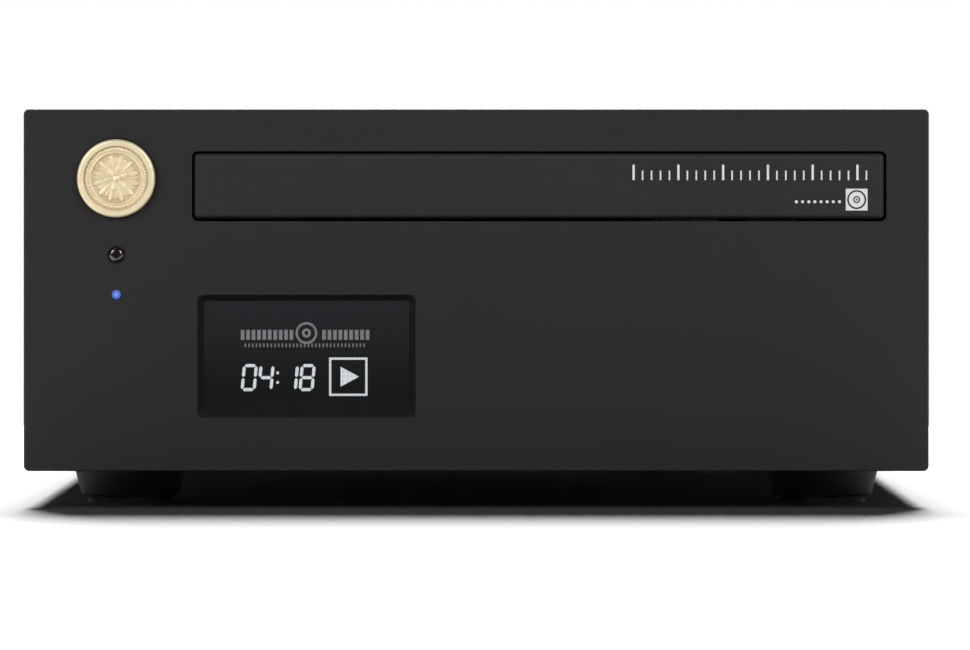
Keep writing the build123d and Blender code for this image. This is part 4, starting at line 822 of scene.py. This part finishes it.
class PLAYER_OT_door(PlayerOperator):
    """Dress the drawer's door and print its graduated scale, its dots and its disc pictogram"""
    bl_idname = "player.door"
    bl_label = "Drawer door"

    def build(self, finishes, marks, studio):
        dress(anodised_door(tuple(finishes.door)), "tray_door")
        ink = printed_ink("door_ink", tuple(finishes.marking))
        right = DOOR_HIGH.x - 3.7 * MM
        scale_base = DOOR_HIGH.z - 5.9 * MM
        disc_side = marks.pictogram
        disc_base = DOOR_LOW.z + 1.9 * MM
        dots_left = right - 15.7 * MM
        dots_right = right - 6.2 * MM
        outlines = self.scale(right - marks.scale_length, right, scale_base, marks.scale_height)
        outlines += self.pictogram(right - disc_side / 2, disc_base + disc_side / 2, disc_side)
        outlines += self.dots(dots_left, dots_right, disc_base + 0.4 * disc_side)
        print_marks("door_print", outlines, DOOR_LOW.y - PRINT_LAYER, ink, "disc_tray")

    def scale(self, left, right, base, height):
        """Graduations, with every fifth stroke taller and wider."""
        count = 27
        wide = 0.5 * MM
        narrow = 0.34 * MM
        outlines = []
        for index in range(count):
            major = index % 5 == 0
            x = left + wide / 2 + (right - left - wide) * index / (count - 1)
            tall = height * (1.0 if major else 0.62)
            outlines.append(rectangle(x, base + tall / 2, wide if major else narrow, tall))
        return outlines

    def dots(self, left, right, height):
        """A row of small round dots."""
        count = 8
        radius = 0.34 * MM
        angles = [math.tau * step / 16 for step in range(16)]
        return [arc(left + (right - left) * index / (count - 1), height, radius, angles)
                for index in range(count)]

    def pictogram(self, x, z, side):
        """A square cut out around a disc: four corner shapes and the disc's two rings."""
        radius = side * 0.44
        outlines = []
        for quarter in range(4):
            angles = [math.pi / 2 * (quarter + step / 10) for step in range(11)]
            outline = arc(x, z, radius, angles)
            outline += arc(x, z, side / 2, angles[-1:])
            outline += arc(x, z, side / math.sqrt(2), (angles[0] + math.pi / 4,))
            outline += arc(x, z, side / 2, angles[:1])
            outlines.append(outline)
        outlines += ring_marks(x, z, side * 0.36, side * 0.16)
        return outlines + ring_marks(x, z, side * 0.1, side * 0.045)


class PLAYER_OT_button(PlayerOperator):
    """Dress the round button and raise a rosette inside its rim"""
    bl_idname = "player.button"
    bl_label = "Round button"

    def build(self, finishes, marks, studio):
        gold = tuple(finishes.gold)
        patina = tuple(finishes.patina)
        rim_width = 1.52 * MM
        floor = BUTTON_LOW.y + 0.7 * MM
        dress(champagne_plate("button_plate", gold, patina, floor + 0.6 * MM, floor - 0.02 * MM), "medallion")
        radius = (BUTTON_HIGH.x - BUTTON_LOW.x) / 2 - rim_width
        centre = (BUTTON_LOW + BUTTON_HIGH) / 2
        mesh = relief_mesh("button_relief", centre, radius, floor, marks.relief, marks.petals)
        deep = floor - 0.08 * MM
        relief = champagne_plate("button_relief_plate", gold, patina, deep, floor - 0.75 * marks.relief)
        new_piece("button_relief", mesh, relief, "button")


class PLAYER_OT_return_spring(PlayerOperator):
    """Wind the spring behind the round button"""
    bl_idname = "player.return_spring"
    bl_label = "Return spring"

    WIRE = 0.22 * MM                # radius of the spring's wire
    TURNS = 2.5
    STEPS = 120
    SIDES = 10

    def build(self, finishes, marks, studio):
        low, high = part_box("return_spring")
        travel = next(joint["range_m"][1] for joint in frame["record"]["behaviour"]["joints"]
                      if joint["name"] == "button_press")
        middle = (low + high) / 2
        wound = self.wound(middle, (high.x - low.x) / 2 - self.WIRE, low.y + self.WIRE, high.y - self.WIRE)
        wound.shade_smooth()
        steel = turned_metal("spring_steel", (0.62, 0.61, 0.59))
        spring = new_piece("button_spring", wound, steel, "chassis")
        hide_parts("return_spring")
        length = high.y - low.y
        (length - travel) / length
        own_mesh(spring)

    def wound(self, middle, radius, front, back):
        """A round wire along a helix round Y, closed at both ends."""
        forward = Vector((0, 1, 0))
        rows = []
        for step in range(self.STEPS + 1):
            share = step / self.STEPS
            turn = math.tau * self.TURNS * share
            out = Vector((math.cos(turn), 0, math.sin(turn)))
            centre = middle + radius * out
            centre.y = front + (back - front) * share
            angles = [math.tau * side / self.SIDES for side in range(self.SIDES)]
            rows.append([centre + self.WIRE * (math.cos(angle) * out + math.sin(angle) * forward)
                         for angle in angles])
        return mesh_of("button_spring", lambda shape: skin(shape, rows))


class PLAYER_OT_display(PlayerOperator):
    """Dress the display's window and set its lit segments and its unlit ones, which glow faintly as painted
    light
    """
    bl_idname = "player.display"
    bl_label = "Display"

    def build(self, finishes, marks, studio):
        dress(smoked_glass(), "display_glass")
        dress(moulded_plastic("display_housing", (0.10, 0.10, 0.10)), "display_module")
        glass_left = GLASS_LOW.x + GLASS_LIP
        glass_base = GLASS_LOW.z + GLASS_LIP
        self.bright(marks, glass_left, glass_base)
        self.dim(glass_left, glass_base)

    def bright(self, marks, left, base):
        """Track time and the boxed play mark."""
        lit = lit_segment("lit_segments", (0.62, 0.66, 0.68), 0.55)
        height = marks.digit_height
        width = height * 0.5
        digit_gap = 1.05 * MM
        colon_width = 1.7 * MM
        dot = 0.55 * MM
        x = left + 8.7 * MM
        line = base + 5.0 * MM
        outlines = []
        for character in "04:18":
            if character == ":":
                for share in (0.3, 0.7):
                    outlines.append(rectangle(x + 0.45 * MM, line + height * share, dot, dot))
                x += colon_width
            else:
                outlines += digit_marks(character, x, line, width, height, height * 0.13)
                x += width + digit_gap
        side = 8.5 * MM
        box_x = left + 27.9 * MM + side / 2
        box_z = base + 3.6 * MM + side / 2
        outlines += frame_marks(box_x, box_z, side, side, 0.5 * MM)
        tail = box_x - 0.2 * side
        half_tail = 0.26 * side
        outlines.append([(tail, box_z - half_tail), (box_x + 0.28 * side, box_z), (tail, box_z + half_tail)])
        print_marks("display_lit", outlines, GLASS_LOW.y - PRINT_LAYER, lit, "chassis")

    def dim(self, left, base):
        """The unlit rows, with a faint glow as painted light: a progress bar broken by a disc, and a row of
        ticks under it.
        """
        # Painted light: the unlit segments are given a faint glow.
        dim = lit_segment("dim_segments", (0.20, 0.21, 0.22), 0.3)
        middle = left + 22.9 * MM
        bar_height = base + 17.1 * MM
        tick_height = bar_height - 2.3 * MM
        disc_height = bar_height + 0.4 * MM
        disc_clearance = 3.3 * MM
        bar_pitch = 1.2 * MM
        tick_pitch = 0.82 * MM
        outlines = []
        for index in range(24):
            x = left + 8.8 * MM + index * bar_pitch
            if abs(x - middle) > disc_clearance:
                outlines.append(rectangle(x, bar_height, 0.8 * MM, 2.2 * MM))
        for index in range(33):
            x = left + 9.4 * MM + index * tick_pitch
            outlines.append(rectangle(x, tick_height, 0.3 * MM, 0.8 * MM))
        outlines += ring_marks(middle, disc_height, 2.4 * MM, 1.9 * MM)
        outlines += ring_marks(middle, disc_height, 1.0 * MM, 0.45 * MM)
        print_marks("display_dim", outlines, GLASS_LOW.y - PRINT_LAYER, dim, "chassis")


class PLAYER_OT_indicators(PlayerOperator):
    """Dress the remote sensor and the power indicator"""
    bl_idname = "player.indicators"
    bl_label = "Indicators"

    def build(self, finishes, marks, studio):
        dress(polished_plastic("sensor_ring", (0.012, 0.012, 0.012)), "ir_bezel")
        dress(infrared_lens(), "ir_lens")
        dress(lit_pipe(tuple(finishes.indicator)), "led_pipe")


class PLAYER_OT_loader(PlayerOperator):
    """Dress the disc tray, its frame, its gears and its belt"""
    bl_idname = "player.loader"
    bl_label = "Loader"

    def build(self, finishes, marks, studio):
        dress(moulded_plastic("tray_plastic", (0.016, 0.016, 0.017), 0.55, 0.4), "tray")
        dress(moulded_plastic("frame_plastic", (0.013, 0.013, 0.013), 0.4, 0.6), "loader_frame", "clamp_puck")
        dress(moulded_plastic("gear_plastic", (0.62, 0.60, 0.54), 0.6, 0.5), "tray_gear", "belt_pulley",
              "motor_pulley", "cam_slider", "sled_gear", "sled_pinion")
        dress(rubber_finish(), "drive_belt", "foot_pads")
        dress(zinc_plate("motor_plate", (0.40, 0.40, 0.39)), "tray_motor", "spindle_motor", "sled_motor",
              "clamp_bridge")


class PLAYER_OT_drive(PlayerOperator):
    """Dress the disc drive's deck, its rods, its turntable and its pickup"""
    bl_idname = "player.drive"
    bl_label = "Disc drive"

    def build(self, finishes, marks, studio):
        dress(zinc_plate("deck_plate", (0.44, 0.44, 0.42)), "deck_chassis")
        dress(turned_metal("ground_rod", (0.62, 0.61, 0.59)), "guide_rods", "retaining_clip", "inlet_pins")
        dress(moulded_plastic("pickup_plastic", (0.011, 0.011, 0.012), 0.45, 0.3), "pickup_sled", "turntable")
        dress(moulded_plastic("lens_holder", (0.09, 0.09, 0.095), 0.6), "pickup_lens", "switch_plunger",
              "optical_flap")


class PLAYER_OT_electronics(PlayerOperator):
    """Dress the boards and what stands on them, the transformer and the ribbon cable"""
    bl_idname = "player.electronics"
    bl_label = "Electronics"

    def build(self, finishes, marks, studio):
        dress(circuit_board(), "display_board", "main_board")
        dress(chip_epoxy(), "chips")
        dress(capacitor_sleeve(), "capacitors")
        dress(turned_metal("fin_metal", (0.50, 0.50, 0.50), rough=0.3), "heat_sink")
        dress(wound_tape(), "transformer")
        dress(zinc_plate("transformer_zinc", (0.42, 0.42, 0.41)), "transformer_plate", "standoffs")
        dress(flat_cable(), "ribbon_cable")
        dress(moulded_plastic("switch_body", (0.02, 0.02, 0.02), 0.45), "tact_switch", "medallion_bush")


class PLAYER_OT_connectors(PlayerOperator):
    """Dress the rear connectors and turn the phono sockets' hexagonal nuts"""
    bl_idname = "player.connectors"
    bl_label = "Connectors"

    def build(self, finishes, marks, studio):
        dress(moulded_plastic("inlet_plastic", (0.014, 0.014, 0.014), 0.5, 0.35), "mains_inlet",
              "fuse_drawer", "rca_insulators", "optical_port")
        dress(polished_plastic("rocker_plastic", (0.011, 0.011, 0.011)), "power_rocker")
        self.socket_metal()
        pins = turned_metal("pin_gold", (0.78, 0.55, 0.22), rough=0.2)
        dress(pins, "xlr_pins", "rca_barrels")
        self.nuts(pins)
        self.rocker_marks(tuple(finishes.marking))

    def socket_metal(self):
        """Nickel whose rings are centred on one balanced socket."""
        low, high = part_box("xlr_sockets")
        half_flange = 13 * MM
        nickel = turned_metal("socket_nickel", (0.36, 0.36, 0.35), low.x + half_flange,
                              (low.z + high.z) / 2, 0.26)
        dress(nickel, "xlr_sockets")

    def nuts(self, finish):
        """A thin hexagonal nut round each phono barrel, against its collar."""
        low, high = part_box("rca_barrels")
        inset = (high.z - low.z) / 2
        face = REAR_FACE + 2.0 * MM

        def build(shape):
            for share in (0.0, 0.5, 1.0):
                x = low.x + inset + (high.x - low.x - 2 * inset) * share
                self.add_nut(shape, x, low.z + inset, face)

        new_piece("phono_nuts", mesh_of("phono_nuts", build), finish, "chassis")

    def add_nut(self, shape, x, z, face):
        """One nut: a chamfered hexagon with a round bore."""
        steps = 48
        bore = 4.17 * MM
        across = 5.4 * MM
        chamfer = 0.35 * MM
        thickness = 1.6 * MM
        corner = across * 1.12
        rings = []
        for y, cut in ((0.0, 0.0), (1.3 * MM, 0.0), (thickness, chamfer), (thickness, None), (0.0, None)):
            row = []
            for step in range(steps):
                angle = math.tau * step / steps
                sector = (angle + math.pi / 6) % (math.pi / 3) - math.pi / 6
                reach = bore if cut is None else min(across / math.cos(sector), corner) - cut
                row.append(shape.verts.new((x + reach * math.cos(angle), face + y,
                                            z + reach * math.sin(angle))))
            rings.append(row)
        for row, other in zip(rings, rings[1:] + rings[:1]):
            bridge(shape, row, other)

    def rocker_marks(self, colour):
        """The rocker's bar and ring, laid on its upper (1) and lower (-1) faces."""
        low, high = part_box("power_rocker")
        middle = Vector(((low.x + high.x) / 2, REAR_FACE - 0.5 * MM, (low.z + high.z) / 2))
        tilt = math.radians(11.0)
        slope = 1.6 / 9.1
        from_middle = 4.6 * MM
        crown = 2.6 * MM
        ink_layer = 0.04 * MM
        marks = ((1, [rectangle(0, 0, 0.5 * MM, 3.0 * MM)]), (-1, ring_marks(0, 0, 1.7 * MM, 1.25 * MM)))

        def laid(point, sign, lift):
            x, along = point
            reach = from_middle * sign + along
            out = crown + abs(reach) * slope + lift
            return middle + Vector((x, out * math.cos(tilt) - reach * math.sin(tilt),
                                    reach * math.cos(tilt) + out * math.sin(tilt)))

        def build(shape):
            for sign, outlines in marks:
                for outline in outlines:
                    skin(shape, [[laid(point, sign, lift) for point in outline] for lift in (ink_layer, 0.0)])

        ink = printed_ink("rocker_ink", colour)
        new_piece("rocker_print", mesh_of("rocker_print", build), ink, "rocker")


class PLAYER_OT_rear_print(PlayerOperator):
    """Print the frames round the groups of sockets on the rear panel"""
    bl_idname = "player.rear_print"
    bl_label = "Rear print"

    def build(self, finishes, marks, studio):
        ink = printed_ink("rear_ink", tuple(finishes.marking))
        line = 0.35 * MM
        outlines = []
        for name, margin in (("xlr_sockets", 2.2 * MM), ("optical_port", 3.2 * MM)):
            low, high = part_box(name)
            width = high.x - low.x + 2 * margin
            height = high.z - low.z + 2 * margin
            outlines += frame_marks((low.x + high.x) / 2, (low.z + high.z) / 2, width, height, line)
        low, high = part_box("rca_barrels")
        base = (low.z + high.z) / 2 - 9 * MM
        ring_height = base - 3 * MM
        socket_pitch = 30 * MM
        outlines.append(rectangle((low.x + high.x) / 2, base, high.x - low.x + 4 * MM, line))
        for index in range(3):
            x = low.x + 5.75 * MM + index * socket_pitch
            outlines += ring_marks(x, ring_height, 1.3 * MM, 0.85 * MM)
            if index == 1:
                outlines.append(rectangle(x, ring_height, 0.7 * MM, 0.7 * MM))
        print_marks("rear_print", outlines, REAR_FACE, ink, "chassis")


class PLAYER_OT_fasteners(PlayerOperator):
    """Dress the screws and the feet"""
    bl_idname = "player.fasteners"
    bl_label = "Screws and feet"

    def build(self, finishes, marks, studio):
        dress(blackened_steel(), "case_screws", "connector_screws", "chassis_screws")
        dress(zinc_plate("screw_zinc", (0.5, 0.49, 0.44)), "foot_screws")
        dress(moulded_plastic("foot_plastic", (0.012, 0.012, 0.012), 0.35, 0.7), "feet")


class PLAYER_OT_stage(PlayerOperator):
    """Set the pale surface, the soft lights and the camera"""
    bl_idname = "player.stage"
    bl_label = "Studio"

    def build(self, finishes, marks, studio):
        self.surface()
        self.room(studio)
        self.softbox("overhead", (0.0, 1.15, 1.30), (0.0, -0.35, 0.0), (1.1, 1.8), studio.overhead)
        player = self.player_collection()
        front = (0.0, PANEL_LOW.y, 0.04)
        rear = (0.0, 0.12, 0.04)
        size = (1.5, 1.5)
        for across, name in ((-1.5, "left"), (1.5, "right")):
            place = (across, PANEL_LOW.y - 1.9, 1.15)
            self.softbox(f"front_{name}", place, front, size, studio.sides, player)
            self.softbox(f"rear_{name}", (across, 2.0, 1.15), rear, size, studio.sides, player)
        self.camera(studio)

    def player_collection(self):
        """The player's own pieces, so that the fill lights leave the surface's shadow alone."""
        player = bpy.data.collections.new("player")
        for piece in bpy.context.scene.objects:
            if piece.type == "MESH" and "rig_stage" not in piece:
                player.objects.link(piece)
        return player

    def surface(self):
        """A pale board under and in front of the player."""
        mesh = mesh_of("surface", lambda shape: bmesh.ops.create_grid(
            shape, x_segments=24, y_segments=24, size=1.0))
        board = Finish("pale_surface", IOR=1.3, Specular_IOR_Level=0.2)
        mottle = board.noise(60 * MM, 3.0)
        tooth = board.noise(0.9 * MM, 2.0)
        board.colour(board.mix(mottle, (0.86, 0.86, 0.86), (0.89, 0.89, 0.89)))
        board.roughness(0.75 + 0.15 * tooth)
        surface = bpy.data.objects.new("surface", mesh)
        surface.scale = (1.2, 0.55, 1.0)
        surface.location = (0.0, -0.12, 0.0)
        bpy.context.scene.collection.objects.link(surface)
        mesh.materials.append(board.material)
        surface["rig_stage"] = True

    def room(self, studio):
        """A white backdrop to the camera, and an even grey room to everything else."""
        scene = bpy.context.scene
        world = scene.world or bpy.data.worlds.new("room")
        scene.world = world
        world.use_nodes = True
        nodes = world.node_tree.nodes
        nodes.clear()
        output = nodes.new("ShaderNodeOutputWorld")
        mixer = nodes.new("ShaderNodeMixShader")
        path = nodes.new("ShaderNodeLightPath")
        links = world.node_tree.links
        for socket, strength in ((1, studio.room), (2, 1.0)):
            background = nodes.new("ShaderNodeBackground")
            background.inputs["Strength"].default_value = strength
            background.inputs["Color"].default_value = (1.0, 1.0, 1.0, 1.0)
            links.new(background.outputs[0], mixer.inputs[socket])
        links.new(path.outputs["Is Camera Ray"], mixer.inputs[0])
        links.new(mixer.outputs[0], output.inputs[0])
        scene.view_settings.view_transform = "Standard"

    def softbox(self, name, place, target, size, power, receivers=None):
        """An elliptical area light aimed at target; it lights only the receivers, where they are given."""
        light = bpy.data.lights.new(name, "AREA")
        light.shape = "ELLIPSE"
        light.size, light.size_y = size
        light.energy = power
        lamp = bpy.data.objects.new(name, light)
        lamp.location = place
        lamp.rotation_euler = (Vector(target) - Vector(place)).to_track_quat("-Z", "Y").to_euler()
        bpy.context.scene.collection.objects.link(lamp)
        if receivers:
            lamp.light_linking.receiver_collection = receivers

    def camera(self, studio):
        """A level camera in front of the panel, shifted down to frame it."""
        lens = bpy.data.cameras.new("camera")
        lens.sensor_width = 36.0
        lens.lens = lens.sensor_width * studio.distance / studio.framed_width
        lens.shift_y = (studio.aim_z - studio.height) / studio.framed_width
        lens.clip_start = 0.05
        lens.clip_end = 20.0
        camera = bpy.data.objects.new("camera", lens)
        camera.location = (studio.aim_x, PANEL_LOW.y - studio.distance, studio.height)
        camera.rotation_euler = (math.pi / 2, 0.0, 0.0)
        bpy.context.scene.collection.objects.link(camera)
        bpy.context.scene.camera = camera


# ---- Panel and registration ----

OPERATORS = (PLAYER_OT_casework, PLAYER_OT_door, PLAYER_OT_button, PLAYER_OT_return_spring, PLAYER_OT_display,
             PLAYER_OT_indicators, PLAYER_OT_loader, PLAYER_OT_drive, PLAYER_OT_electronics,
             PLAYER_OT_connectors, PLAYER_OT_rear_print, PLAYER_OT_fasteners, PLAYER_OT_stage)


class PLAYER_PT_panel(bpy.types.Panel):
    """The player's finishes, marks and studio"""
    bl_idname = "PLAYER_PT_panel"
    bl_label = "Disc player"
    bl_space_type = "VIEW_3D"
    bl_region_type = "UI"
    bl_category = "Player"

    def draw(self, context):
        for group in (context.scene.player_finishes, context.scene.player_marks, context.scene.player_studio):
            box = self.layout.box()
            for name in group.__annotations__:
                box.prop(group, name)
        for operator in OPERATORS:
            self.layout.operator(operator.bl_idname)


GROUPS = (("player_finishes", PlayerFinishes), ("player_marks", PlayerMarks), ("player_studio", PlayerStudio))


def register():
    for name, group in GROUPS:
        bpy.utils.register_class(group)
        setattr(bpy.types.Scene, name, bpy.props.PointerProperty(type=group))
    for kind in OPERATORS + (PLAYER_PT_panel,):
        bpy.utils.register_class(kind)


def unregister():
    for kind in (PLAYER_PT_panel,) + OPERATORS[::-1]:
        bpy.utils.unregister_class(kind)
    for name, group in GROUPS[::-1]:
        delattr(bpy.types.Scene, name)
        bpy.utils.unregister_class(group)


def main():
    """Dress the player piece by piece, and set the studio."""
    register()
    bpy.ops.player.casework()
    bpy.ops.player.door()
    bpy.ops.player.button()
    bpy.ops.player.return_spring()
    bpy.ops.player.display()
    bpy.ops.player.indicators()
    bpy.ops.player.loader()
    bpy.ops.player.drive()
    bpy.ops.player.electronics()
    bpy.ops.player.connectors()
    bpy.ops.player.rear_print()
    bpy.ops.player.fasteners()
    bpy.ops.player.stage()


if __name__ == "__main__":
    main()
